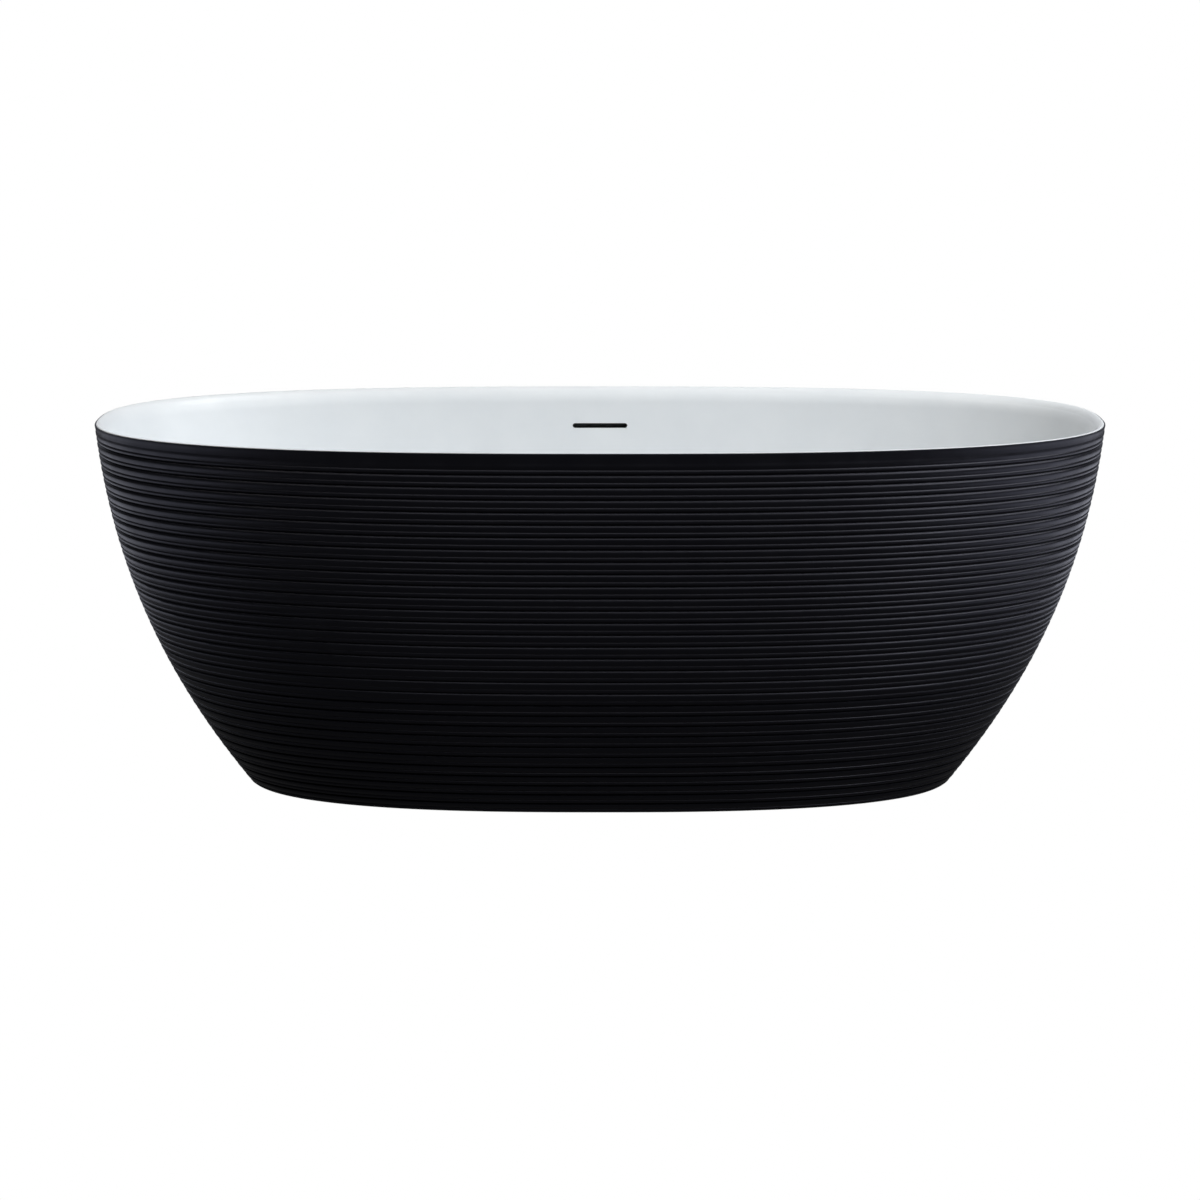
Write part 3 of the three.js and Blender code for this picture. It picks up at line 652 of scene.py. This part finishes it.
def shell_ring(height, depth):
    ring = []
    for turn in turns_of(COLUMNS):
        z = height + lift(turn, height)
        half_length = reach_at(OUTER_END, z) - depth
        half_width = reach_at(OUTER_SIDE, z) - depth
        x, y = on_oval(half_length, half_width, turn)
        ring.append(Vector((x, y, z)) * MM)
    return ring


# %% Outer shell
FOOT_FLANGE = 18           # the foot turns in by this much
FOOT_TOP = SKIRT + 5
REBATE = 2.2               # the basin's lip sits in this thin edge
LIP_THICKNESS = 6
JOINT_GAP = 0.3
LIP_UNDER = HEIGHT - LIP_THICKNESS - JOINT_GAP


def flat_shell_ring(height, inset):
    return oval_ring(reach_at(OUTER_END, height) - inset, reach_at(OUTER_SIDE, height) - inset,
                     height)


inside = [(SKIRT, SHELL_WALL + FOOT_FLANGE), (FOOT_TOP, SHELL_WALL + FOOT_FLANGE),
          (FOOT_TOP, SHELL_WALL + 1)]
inside += [(z, SHELL_WALL) for z in range(10, 571, 35)]
inside += [(LIP_UNDER, SHELL_WALL), (LIP_UNDER, REBATE), (HEIGHT - 1.0, REBATE)]
rings = [shell_ring(z, depth) for z, depth in outside_levels()]
rings += [flat_shell_ring(z, inset) for z, inset in inside]
shell = skin("ribbed_outer_shell", rings, loops_back=True)
settle(shell, gel_coat, "tub", "outer_shell")

# %% [markdown]
# ## The basin
# The basin is one skin: up the inside from the drain, over the rim, down the outside and back
# under the floor. The drain is simply where the rings close in, and the overflow slot is cut
# through the back wall afterwards, as it is routed in the factory.

# %% Basin skin
BASIN_WALL = 6.5
FLOOR_THICKNESS = 9
RECESS_RADIUS = 37.5
RECESS_DEPTH = 4.5
DRAIN_RADIUS = 26
FLOOR_RINGS = 9
WALL_RINGS = 60


def floor_ring(share, height):
    """A ring between the drain (share 0) and the foot of the walls (share 1)."""
    inner = RECESS_RADIUS + 1.5
    power = 2 + (SQUARENESS - 2) * share
    return oval_ring(inner + (INNER_END[0][0] - inner) * share,
                     inner + (INNER_SIDE[0][0] - inner) * share, height, power)


def inner_ring(height, outset=0.0, drop=0.0):
    return oval_ring(reach_at(INNER_END, height) + outset, reach_at(INNER_SIDE, height) + outset,
                     height - drop)


recess = soften([(DRAIN_RADIUS, FLOOR_TOP - FLOOR_THICKNESS),
                 (DRAIN_RADIUS, FLOOR_TOP - RECESS_DEPTH),
                 (RECESS_RADIUS, FLOOR_TOP - RECESS_DEPTH), (RECESS_RADIUS + 1, FLOOR_TOP),
                 (RECESS_RADIUS + 4, FLOOR_TOP)], 1.2)
rings = [oval_ring(r, r, z, 2) for r, z in recess[:-1]]
rings += [floor_ring(k / FLOOR_RINGS, FLOOR_TOP) for k in range(1, FLOOR_RINGS)]
heights = [bezier(INNER_END, k / WALL_RINGS)[1] for k in range(WALL_RINGS + 1)]

# %% Rim
ROLL_DROP = 9              # where the wall begins to roll over into the rim
LEVEL_LINE = 5.0           # the rim is level from here out to its edge
ROLL_BEND = (11.5, HEIGHT - 2.5)
ROLL = ((RIM_WIDTH, HEIGHT - ROLL_DROP), ROLL_BEND, (LEVEL_LINE, HEIGHT))
ROLL_STEPS = 10
LIP_INSET = 2.5            # the lip stands this far inside the shell's crests
LIP_EDGE = 1               # radius of the lip's outer edge
LIP_TAPER = 1
EDGE_STEPS = 4


def rim_ring(inset, height):
    return oval_ring(LENGTH / 2 - inset, WIDTH / 2 - inset, height)


rings += [inner_ring(z) for z in heights if z < HEIGHT - ROLL_DROP - 2]
rings += [rim_ring(*bezier(ROLL, k / ROLL_STEPS)) for k in range(ROLL_STEPS + 1)]
for k in range(EDGE_STEPS + 1):
    a = math.pi / 2 * k / EDGE_STEPS
    rings.append(rim_ring(LIP_INSET + LIP_EDGE * (1 - math.sin(a)),
                          HEIGHT - LIP_EDGE * (1 - math.cos(a))))
rings.append(rim_ring(LIP_INSET + LIP_TAPER, HEIGHT - LIP_THICKNESS))

# %% Underside of the basin
rings.append(inner_ring(HEIGHT - LIP_THICKNESS, BASIN_WALL))
for z in reversed([z for z in heights[1::2] if z < HEIGHT - LIP_THICKNESS - 2]):
    share = (z - FLOOR_TOP) / (HEIGHT - FLOOR_TOP)
    rings.append(inner_ring(z, BASIN_WALL, FLOOR_THICKNESS * (1 - share) ** 3))
rings += [floor_ring(k / FLOOR_RINGS, FLOOR_TOP - FLOOR_THICKNESS)
          for k in range(FLOOR_RINGS, 0, -1)]
basin = skin("white_acrylic_basin", rings, loops_back=True)

# %% Overflow slot
SLOT_LENGTH = 93
SLOT_HEIGHT = 8.5
SLOT_Z = HEIGHT - 64


def slot_outline():
    half = (SLOT_LENGTH - SLOT_HEIGHT) / 2
    radius = SLOT_HEIGHT / 2
    points = []
    for side, start in ((1, -math.pi / 2), (-1, math.pi / 2)):
        for k in range(13):
            turn = start + math.pi * k / 12
            points.append((side * half + radius * math.cos(turn), radius * math.sin(turn)))
    return points


cutter = skin("slot_cutter", [[Vector((x, y, SLOT_Z + z)) * MM for x, z in slot_outline()]
                              for y in (WIDTH / 2 - 60, WIDTH / 2 + 10)])
settle(carve(basin, cutter), acrylic, "tub", "inner_basin")

# %% [markdown]
# ### The bead between the skins
# A bead of elastic adhesive joins the two skins under the rim. It is squeezed as the basin is
# lowered in, so its free underside bulges a little.

# %% Adhesive bead
BEAD_HEIGHT = 7.0
BEAD_BULGE = 0.8
BEAD_INNER = BASIN_WALL + 2 * JOINT_GAP
BEAD_OUTER = SHELL_WALL + JOINT_GAP


def bead_ring(share, drop):
    """One line round the bead; share runs from the basin's wall to the shell's."""
    z = LIP_UNDER - drop
    near = (reach_at(INNER_END, z) + BEAD_INNER, reach_at(INNER_SIDE, z) + BEAD_INNER)
    far = (reach_at(OUTER_END, z) - BEAD_OUTER, reach_at(OUTER_SIDE, z) - BEAD_OUTER)
    return oval_ring(*(n + (f - n) * share for n, f in zip(near, far)), z)


bead_rings = [bead_ring(k / 4, 0) for k in range(5)]
bead_rings += [bead_ring(k / 4, BEAD_HEIGHT + BEAD_BULGE * math.sin(math.pi * k / 4))
               for k in range(4, -1, -1)]
bead = skin("squeezed_adhesive_bead", bead_rings, loops_back=True)
settle(bead, sealant, "tub", "rim_adhesive_bead")

# %% [markdown]
# ## Board and steel frame
# A plywood board spreads the bather's weight. It lies on two crossbars, which sit on two rails,
# and a bolt goes up through each crossing into a nut inside the crossbar.

# %% Plywood board
board_low, board_high = corners_of("base_board")
BOARD_EDGE = 1.2
BOARD_HOLE = 70
eased_edges = [(BOARD_EDGE, board_low.z), (0, board_low.z + BOARD_EDGE),
               (0, board_high.z - BOARD_EDGE), (BOARD_EDGE, board_high.z)]
rings = [oval_ring(board_high.x - inset, board_high.y - inset, z) for inset, z in eased_edges]
rings += [oval_ring(BOARD_HOLE + inset, BOARD_HOLE + inset, z, 2)
          for inset, z in reversed(eased_edges)]
board = skin("plywood_base_board", rings, loops_back=True)
settle(board, plywood, "tub", "base_board")

# %% Rails and crossbars
TUBE_WALL = 2.0
TUBE_CORNER = 3.0
CROSSBAR_X = 330
RAIL_Y = 150
FOOT_X = 425


def square_tube(name, node, along):
    """A square tube with drawn round corners, in the place of a CAD node."""
    low, high = corners_of(node)
    middle = (low + high) / 2
    across = 1 - along
    half = (high[across] - low[across]) / 2

    def section(reach):
        corners = [(reach, reach), (-reach, reach), (-reach, -reach), (reach, -reach)]
        return soften(corners, TUBE_CORNER if reach == half else 1.5, closed=True)

    def station(place, outline):
        ring = []
        for u, v in outline:
            point = [0, 0, middle.z + v]
            point[along] = place
            point[across] = middle[across] + u
            ring.append(Vector(point) * MM)
        return ring

    outer, inner = section(half), section(half - TUBE_WALL)
    ends = (low[along], high[along])
    rings = [station(ends[0], outer), station(ends[1], outer),
             station(ends[1], inner), station(ends[0], inner)]
    return skin(name, rings, loops_back=True)


def rod(name, radius, bottom, top, at, columns=32):
    return skin(name, [circle(radius, bottom, columns, at), circle(radius, top, columns, at)])


for side, y in (("front", -RAIL_Y), ("back", RAIL_Y)):
    low, high = corners_of(f"rail_{side}")
    holes = [rod("hole", radius, low.z - 1, high.z + 1, (x, y))
             for x, radius in ((-CROSSBAR_X, 4.5), (CROSSBAR_X, 4.5), (-FOOT_X, 6.4), (FOOT_X, 6.4))]
    rail = carve(square_tube(f"{side}_rail_tube", f"rail_{side}", 0), *holes)
    settle(rail, powder_coat, "tub", f"rail_{side}")

for side, x in (("left", -CROSSBAR_X), ("right", CROSSBAR_X)):
    low, high = corners_of(f"crossbar_{side}")
    holes = [rod("hole", 4.5, low.z - 1, (low.z + high.z) / 2, (x, y)) for y in (-RAIL_Y, RAIL_Y)]
    crossbar = carve(square_tube(f"{side}_crossbar_tube", f"crossbar_{side}", 1), *holes)
    settle(crossbar, powder_coat, "tub", f"crossbar_{side}")

# %% [markdown]
# ### Bolts, nuts and brackets
# Bought hardware looks right when its chamfers and threads are there. The nuts are turned
# hexagons, so their corners are cut by a cone, and the threads really wind round their shanks.

# %% Hardware at each corner
CORNERS = (("front_left", -1, -1), ("front_right", 1, -1), ("back_left", -1, 1), ("back_right", 1, 1))
STRIP = 4.0
BRACKET_HALF = 15
BRACKET_START, BRACKET_DROP, BRACKET_FOOT = 166, 205, 235   # its bends, out from the middle
for corner, x, y in CORNERS:
    at = axis_of(f"frame_bolt_{corner}")
    bottom, top = levels_of(f"frame_bolt_{corner}")
    bolt = weld(nut(f"hex_bolt_{corner}", 13, bottom, bottom + 5.3, 0, at),
                threaded("shank", 4, 1.25, bottom + 4, top, at))
    settle(bolt, zinc_plate, "tub", f"frame_bolt_{corner}")

    captive = nut(f"captive_nut_{corner}", 13, *levels_of(f"frame_nut_{corner}"), 4.3, at)
    settle(captive, zinc_plate, "tub", f"frame_nut_{corner}")

    low, high = levels_of(f"shell_bracket_{corner}")
    section = [(BRACKET_START, high), (BRACKET_START, high - STRIP), (BRACKET_DROP, high - STRIP),
               (BRACKET_DROP, low), (BRACKET_FOOT, low), (BRACKET_FOOT, low + STRIP),
               (BRACKET_DROP + STRIP, low + STRIP), (BRACKET_DROP + STRIP, high)]
    bent = soften([(y * across, z) for across, z in section], 2.5, closed=True, steps=3)
    bracket = strip(f"bent_bracket_{corner}", bent, BRACKET_HALF, x * CROSSBAR_X)
    settle(bracket, zinc_plate, "tub", f"shell_bracket_{corner}")

# %% [markdown]
# ### Levelling feet
# Each foot is a rubber pad on a threaded stud, and a nut locks it against the rail. Turning the
# hexagon at the bottom of the stud lets the foot down, so pad and stud move together.

# %% Levelling feet
HEX_BOTTOM = 14.3
HEX_HEIGHT = 8
for corner, *_ in CORNERS:
    at = axis_of(f"foot_pad_{corner}")
    bottom = levels_of(f"foot_pad_{corner}")[0]
    profile = soften([(0, 0), (21, 0), (24, 1.5), (24, 5), (18, 9), (13, 14), (7, 14), (7, 6),
                      (0, 6)], 1.2)
    pad = turned(f"rubber_pad_{corner}", [(r, z + bottom) for r, z in profile], at)
    settle(pad, rubber, f"foot_{corner}", f"foot_pad_{corner}")

    stud = weld(threaded(f"threaded_stud_{corner}", 6, 1.75, *levels_of(f"foot_stud_{corner}"), at),
                nut("hex", 19, HEX_BOTTOM, HEX_BOTTOM + HEX_HEIGHT, 0, at))
    settle(stud, zinc_plate, f"foot_{corner}", f"foot_stud_{corner}")

    jam = nut(f"jam_nut_{corner}", 19, *levels_of(f"foot_jam_nut_{corner}"), 6.3, at)
    settle(jam, zinc_plate, "tub", f"foot_jam_nut_{corner}")

# %% [markdown]
# ## Waste
# The chrome flange screws down through the basin into the white body, with a seal above and below
# the acrylic. The plug sits on the flange; its stem slides in a brass sleeve with a spring.

# %% Flange, body and seals
FLANGE_TOP = FLOOR_TOP - 0.2
FLANGE_UNDER = 137.1
flange = turned("chrome_waste_flange", soften([
    (21.5, 100), (24, 100), (24, FLANGE_UNDER), (35, FLANGE_UNDER), (35, FLANGE_TOP - 1.5),
    (33, FLANGE_TOP), (25, FLANGE_TOP), (21.5, FLANGE_TOP - 4)], 0.8, closed=True), closed=True,
    columns=96)
hub = ring_of("hub", 9.3, 11.5, 114, 126)
spokes = [block("spoke", low, high, 0.8) for low, high in (
    ((11, -1.5, 116), (22.2, 1.5, 124)), ((-22.2, -1.5, 116), (-11, 1.5, 124)),
    ((-1.5, 11, 116), (1.5, 22.2, 124)), ((-1.5, -22.2, 116), (1.5, -11, 124)))]
settle(weld(flange, hub, *spokes), chrome, "tub", "waste_flange")

for node, inner, outer in (("waste_seal_upper", 26.5, 34), ("waste_seal_lower", 30, 41)):
    seal = ring_of(f"rubber_{node}", inner, outer, *levels_of(node), edge=0.4)
    settle(seal, rubber, "tub", node)

body_low, body_high = corners_of("waste_body")
body = turned("white_waste_body", soften([
    (17, body_low.z), (20, body_low.z), (20, 82), (30, 90), (30, body_high.z - 5),
    (42, body_high.z - 5), (42, body_high.z), (26, body_high.z), (26, 93), (17, 84)],
    1.2, closed=True), closed=True)
INLET_Z = 104
inlet = pipe("inlet", [(0, 27, INLET_Z), (0, 45, INLET_Z), (0, body_high.y, INLET_Z)], 14)
bore = pipe("bore", [(0, 5, INLET_Z), (0, 40, INLET_Z), (0, 70, INLET_Z)], 10.3)
settle(carve(weld(body, inlet), bore), white_plastic, "tub", "waste_body")

# %% Pop-up plug
cap_low, cap_high = levels_of("plug_cap")
cap = turned("chrome_plug_cap", soften([
    (0, cap_low), (29, cap_low), (31, cap_low + 1), (31, cap_low + 2.5), (27, cap_low + 4.2),
    (18, cap_low + 5.2), (8, cap_low + 5.7), (0, cap_high)], 1.0), columns=96)
settle(cap, chrome, "plug", "plug_cap")

plug_seal = ring_of("rubber_plug_seal", 22.5, 29, *levels_of("plug_seal"))
settle(plug_seal, rubber, "plug", "plug_seal")

stem_low, stem_high = levels_of("plug_stem")
COLLAR = 123
stem = turned("brass_plug_stem", soften([
    (0, stem_low), (3.5, stem_low), (3.5, COLLAR), (6.4, COLLAR), (6.4, COLLAR + 3),
    (3.5, COLLAR + 3), (3.5, stem_high), (0, stem_high)], 0.5), columns=48)
settle(stem, brass, "plug", "plug_stem")

sleeve_low, sleeve_high = levels_of("clicker_sleeve")
sleeve = turned("brass_clicker_sleeve", soften([
    (4, sleeve_low), (9, sleeve_low), (9, sleeve_high), (7.2, sleeve_high), (7.2, sleeve_low + 2),
    (4, sleeve_low + 2)], 0.4, closed=True), closed=True, columns=48)
settle(sleeve, brass, "tub", "clicker_sleeve")

# %% Clicker spring
SPRING_RADIUS = 5.4
WIRE = 0.6
TURNS = 5
spring_low, spring_high = levels_of("clicker_spring")
SPRING_STEPS = 36
WIRE_SIDES = 10
UP = Vector((0, 0, 1))
rings = []
for k in range(TURNS * SPRING_STEPS + 1):
    turn = 2 * math.pi * k / SPRING_STEPS
    climb = (spring_high - spring_low - 2 * WIRE) * k / (TURNS * SPRING_STEPS)
    outward = Vector((math.cos(turn), math.sin(turn), 0))
    middle = outward * SPRING_RADIUS + UP * (spring_low + WIRE + climb)
    rings.append([(middle + WIRE * (math.cos(a) * outward + math.sin(a) * UP)) * MM
                  for a in turns_of(WIRE_SIDES)])
settle(skin("coiled_clicker_spring", rings), spring_wire, "tub",
       "clicker_spring")

# %% [markdown]
# ### Trap and outlet
# The trap holds a plug of water against smells: down, round a tight bend, up and out. Union nuts
# with gripping ribs join it at both ends.

# %% Trap, nuts and outlet
TRAP_RADIUS = 28
TRAP_Z = 53
OUTLET_BEND = 22
OUTLET_Z = TRAP_Z + OUTLET_BEND
UNION_GRIPS = 12
route = [(0, 0, z) for z in (64, 60, 56)]
for k in range(25):
    a = math.pi * k / 24
    route.append((0, -TRAP_RADIUS + TRAP_RADIUS * math.cos(a), TRAP_Z - TRAP_RADIUS * math.sin(a)))
for k in range(1, 13):
    a = math.pi / 2 * k / 12
    route.append((0, -2 * TRAP_RADIUS - OUTLET_BEND * (1 - math.cos(a)),
                  TRAP_Z + OUTLET_BEND * math.sin(a)))
route += [(0, y, OUTLET_Z) for y in (-82, -87, -92)]
trap = pipe("white_trap_bend", route, 20, 17)
settle(trap, white_plastic, "tub", "trap_bend")


def union_nut(name, node, length, along_y):
    """A ring with gripping ribs round it."""
    def ring(reach, place, ribs):
        points = []
        for turn in turns_of(96):
            grip = max(0, math.cos(UNION_GRIPS * turn)) ** 0.5 * 1.8 if ribs else 0
            u, v = (reach + grip) * math.cos(turn), (reach + grip) * math.sin(turn)
            points.append(Vector((u, place, v)) if along_y else Vector((u, v, place)))
        return points

    low, high = corners_of(node)
    middle = (low + high) / 2
    shift = Vector((0, middle.y - length / 2, middle.z) if along_y else (0, 0, middle.z - length / 2))
    rings = [ring(20.3, 0.6, False), ring(21, 0, False), ring(25, 0, False), ring(26, 1, True),
             ring(26, length - 1, True), ring(25, length, False), ring(21, length, False),
             ring(20.3, length - 0.6, False)]
    rings = [[(point + shift) * MM for point in points] for points in rings]
    return skin(name, rings, loops_back=True)


for end, length, along_y in (("inlet", 22, False), ("outlet", 20, True)):
    gripped = union_nut(f"ribbed_{end}_nut", f"trap_{end}_nut", length, along_y)
    settle(gripped, white_plastic, "tub", f"trap_{end}_nut")

low, high = corners_of("outlet_pipe")
outlet = pipe("white_outlet_pipe", [(0, low.y, OUTLET_Z), (0, -112, OUTLET_Z),
                                    (0, high.y, OUTLET_Z)], 20, 17)
settle(outlet, white_plastic, "tub", "outlet_pipe")

# %% [markdown]
# ## Overflow
# Behind the slot a flat box is stuck to the wall. Its funnel turns into a pipe that runs down
# between the skins and under the board into the waste body.

# %% Overflow box, gasket and funnel
SLOT_Y = reach_at(INNER_SIDE, SLOT_Z) + BASIN_WALL
SPAN = 45
TILT = math.atan((reach_at(INNER_SIDE, SLOT_Z) - reach_at(INNER_SIDE, SLOT_Z - SPAN)) / SPAN)
BOX_HALF = 59
BOX_TOP = 9
BOX_BOTTOM = -46
FRAME_X, FRAME_Z = 7, 5    # the box's walls at its ends and along its edges
FOAM_SQUEEZE = 0.6


def lean_on_wall(piece):
    """Leans a piece that was made flat, at the origin, against the wall behind the slot."""
    for vert in piece.data.vertices:
        x, y, z = vert.co / MM
        vert.co = Vector((x, y * math.cos(TILT) + z * math.sin(TILT) + SLOT_Y + FOAM_SQUEEZE,
                          z * math.cos(TILT) - y * math.sin(TILT) + SLOT_Z)) * MM
    return piece


def window(depth, edge):
    """A cutter for the opening inside the box's walls."""
    return block("window", (-BOX_HALF + FRAME_X, -3, BOX_BOTTOM + FRAME_Z),
                 (BOX_HALF - FRAME_X, depth, BOX_TOP - FRAME_Z), edge)


gasket = carve(block("foam_overflow_gasket", (-BOX_HALF, 0, BOX_BOTTOM), (BOX_HALF, 1.2, BOX_TOP),
                     0.2, 1), window(4, 0.5))
settle(lean_on_wall(gasket), rubber, "tub", "overflow_gasket")

drain = block("drain", (-15, 4.2, BOX_BOTTOM - 10), (15, 9.2, BOX_BOTTOM + 10), 0.5)
overflow = carve(block("black_overflow_box", (-BOX_HALF, 1.5, BOX_BOTTOM),
                       (BOX_HALF, 12.5, BOX_TOP), 2), window(10.9, 2), drain)
settle(lean_on_wall(overflow), black_plastic, "tub", "overflow_box")

FUNNEL_Y = 354.8
funnel_low, funnel_high = corners_of("overflow_funnel")
socket = turned("white_overflow_funnel", soften([
    (10.3, funnel_low.z), (11.6, funnel_low.z), (11.6, 458), (10.3, 458)], 0.5, closed=True),
    (0, FUNNEL_Y), closed=True)
mouth = carve(block("mouth", (-20, FUNNEL_Y - 5.5, 452), (20, FUNNEL_Y + 5.5, funnel_high.z), 1.5),
              block("throat", (-16, FUNNEL_Y - 3, 454), (16, FUNNEL_Y + 3, 470), 1),
              rod("bore", 10.3, 440, 454.5, (0, FUNNEL_Y)))
settle(weld(socket, mouth), white_plastic, "tub", "overflow_funnel")

# %% Overflow pipe and its nut
ROUTE = ((FUNNEL_Y, 452), (FUNNEL_Y, 430), (347, 395), (337, 340), (323, 270), (308, 205), (290, 150),
         (268, 118), (240, INLET_Z + 2), (205, INLET_Z), (150, INLET_Z), (90, INLET_Z), (40, INLET_Z))


def through(points, steps):
    """A smooth line through given points, paced by the distance between them."""
    smooth = []
    for i in range(len(points) - 1):
        p = [Vector(points[min(max(i + k, 0), len(points) - 1)]) for k in (-1, 0, 1, 2)]
        gap = [max(1e-6, (b - a).length) ** 0.5 for a, b in zip(p, p[1:])]
        m1 = (p[1] - p[0]) / gap[0] - (p[2] - p[0]) / (gap[0] + gap[1]) + (p[2] - p[1]) / gap[1]
        m2 = (p[2] - p[1]) / gap[1] - (p[3] - p[1]) / (gap[1] + gap[2]) + (p[3] - p[2]) / gap[2]
        m1 = m1 * gap[1] if i else p[2] - p[1]
        m2 = m2 * gap[1] if i < len(points) - 2 else p[2] - p[1]
        for k in range(steps):
            t = k / steps
            a, b = 2 * t ** 3 - 3 * t * t, t ** 3 - 2 * t * t + t
            smooth.append((1 + a) * p[1] - a * p[2] + b * m1 + (t ** 3 - t * t) * m2)
    return smooth + [Vector(points[-1])]


downpipe = pipe("white_overflow_pipe", [(0, y, z) for y, z in through(ROUTE, 6)], 10, 8, 32)
settle(downpipe, white_plastic, "tub", "overflow_pipe")

low, high = corners_of("overflow_inlet_nut")
collar = [(low.y, 14.3), (low.y, 17), (low.y + 1, 18), (high.y - 1, 18), (high.y, 17),
          (high.y, 10.3), (high.y - 3, 10.3), (high.y - 3, 14.3)]
NUT_LOBES = 8
LOBE_SWELL = 0.03
rings = []
for y, radius in collar:
    ring = []
    for a in turns_of(64):
        reach = radius * (1 + LOBE_SWELL * math.cos(NUT_LOBES * a)) if radius > 17 else radius
        ring.append(Vector((reach * math.cos(a), y, INLET_Z + reach * math.sin(a))) * MM)
    rings.append(ring)
settle(skin("black_inlet_nut", rings, loops_back=True), black_plastic, "tub",
       "overflow_inlet_nut")

# %% [markdown]
# ## Studio
# A white sweep, so the dark outline stands out on it. A satin black piece shows mostly what it
# reflects. Floor and sky are kept dim in reflections, which gives the ribs their black undersides,
# and softboxes high above light their tops. Cards behind and beside the tub make its two ends glow
# where they are seen edge on, and the stronger boxes on the right shade the basin.

# %% Floor
FLOOR_SIZE = 60
FLOOR_REFLECTED = 0.07     # brightness of the floor as the black shell sees it


def studio_white(name, seen, reflected):
    """A backdrop that is plain white to the eye and dim in reflections."""
    material = bpy.data.materials.new(name)
    material.use_nodes = True
    tree = material.node_tree
    tree.nodes.clear()
    sight = add(tree, "ShaderNodeLightPath")
    level = add(tree, "ShaderNodeMapRange", {"Value": sight.outputs["Is Camera Ray"],
                                             "To Min": reflected, "To Max": seen})
    glow = add(tree, "ShaderNodeEmission", {"Color": (1, 1, 1, 1),
                                            "Strength": level.outputs["Result"]})
    out = add(tree, "ShaderNodeOutputMaterial")
    tree.links.new(glow.outputs[0], out.inputs["Surface"])
    return material


build = bmesh.new()
bmesh.ops.create_grid(build, x_segments=1, y_segments=1, size=FLOOR_SIZE / 2)
floor = finish_mesh("studio_floor", build)
coat(floor, studio_white("studio_floor_paint", 1.0, FLOOR_REFLECTED))

# %% Lights
MIDDLE = (0, 0, 0.4)
DAYLIGHT = (0.965, 0.985, 1.0)
WARM = (1.0, 0.95, 0.88)
COOL = (0.84, 0.87, 1.0)


def softbox(name, place, aim, size, power, colour=(1, 1, 1)):
    """A rectangular light in metres and watts that the camera doesn't see."""
    light = bpy.data.lights.new(name, "AREA")
    light.shape = "RECTANGLE"
    light.size, light.size_y = size
    light.energy = power
    light.color = colour
    lamp = bpy.data.objects.new(name, light)
    lamp.location = place
    lamp.rotation_euler = (Vector(aim) - Vector(place)).to_track_quat("-Z", "Y").to_euler()
    lamp.visible_camera = False
    bpy.context.scene.collection.objects.link(lamp)


softbox("key_front_right", (3.2, -3.0, 3.2), MIDDLE, (2.0, 2.0), 58, DAYLIGHT)
softbox("high_right", (3.6, -0.6, 2.6), (0, 0, 0.5), (2.0, 2.0), 42, DAYLIGHT)
softbox("over_right", (1.8, -0.4, 4.2), MIDDLE, (2.0, 2.0), 90, DAYLIGHT)
softbox("over_left", (-1.8, -0.4, 4.2), MIDDLE, (2.0, 2.0), 45, WARM)
softbox("over_front", (0, -3.4, 4.0), MIDDLE, (4.0, 1.6), 28)
softbox("card_behind", (0, 4.2, 1.8), (0, 0, 0.6), (9.0, 3.6), 34, COOL)
softbox("card_on_floor_right", (2.4, 0.2, 0.02), (2.4, 0.2, 3), (2.4, 3.0), 27, COOL)
softbox("card_on_floor_left", (-2.4, 0.2, 0.02), (-2.4, 0.2, 3), (2.4, 3.0), 18, COOL)

# %% Sky
SKY = 0.03                 # brightness of the sky in all but the camera's own view
world = bpy.data.worlds.new("soft_studio")
bpy.context.scene.world = world
world.use_nodes = True
tree = world.node_tree
tree.nodes.clear()
sight = add(tree, "ShaderNodeLightPath")
seen = add(tree, "ShaderNodeBackground", {"Color": (1, 1, 1, 1), "Strength": 1.0})
fill = add(tree, "ShaderNodeBackground", {"Color": (0.92, 0.96, 1.0, 1), "Strength": SKY})
both = add(tree, "ShaderNodeMixShader", {0: sight.outputs["Is Camera Ray"], 1: fill.outputs[0],
                                         2: seen.outputs[0]})
out = add(tree, "ShaderNodeOutputWorld")
tree.links.new(both.outputs[0], out.inputs["Surface"])
bpy.context.scene.view_settings.view_transform = "Standard"
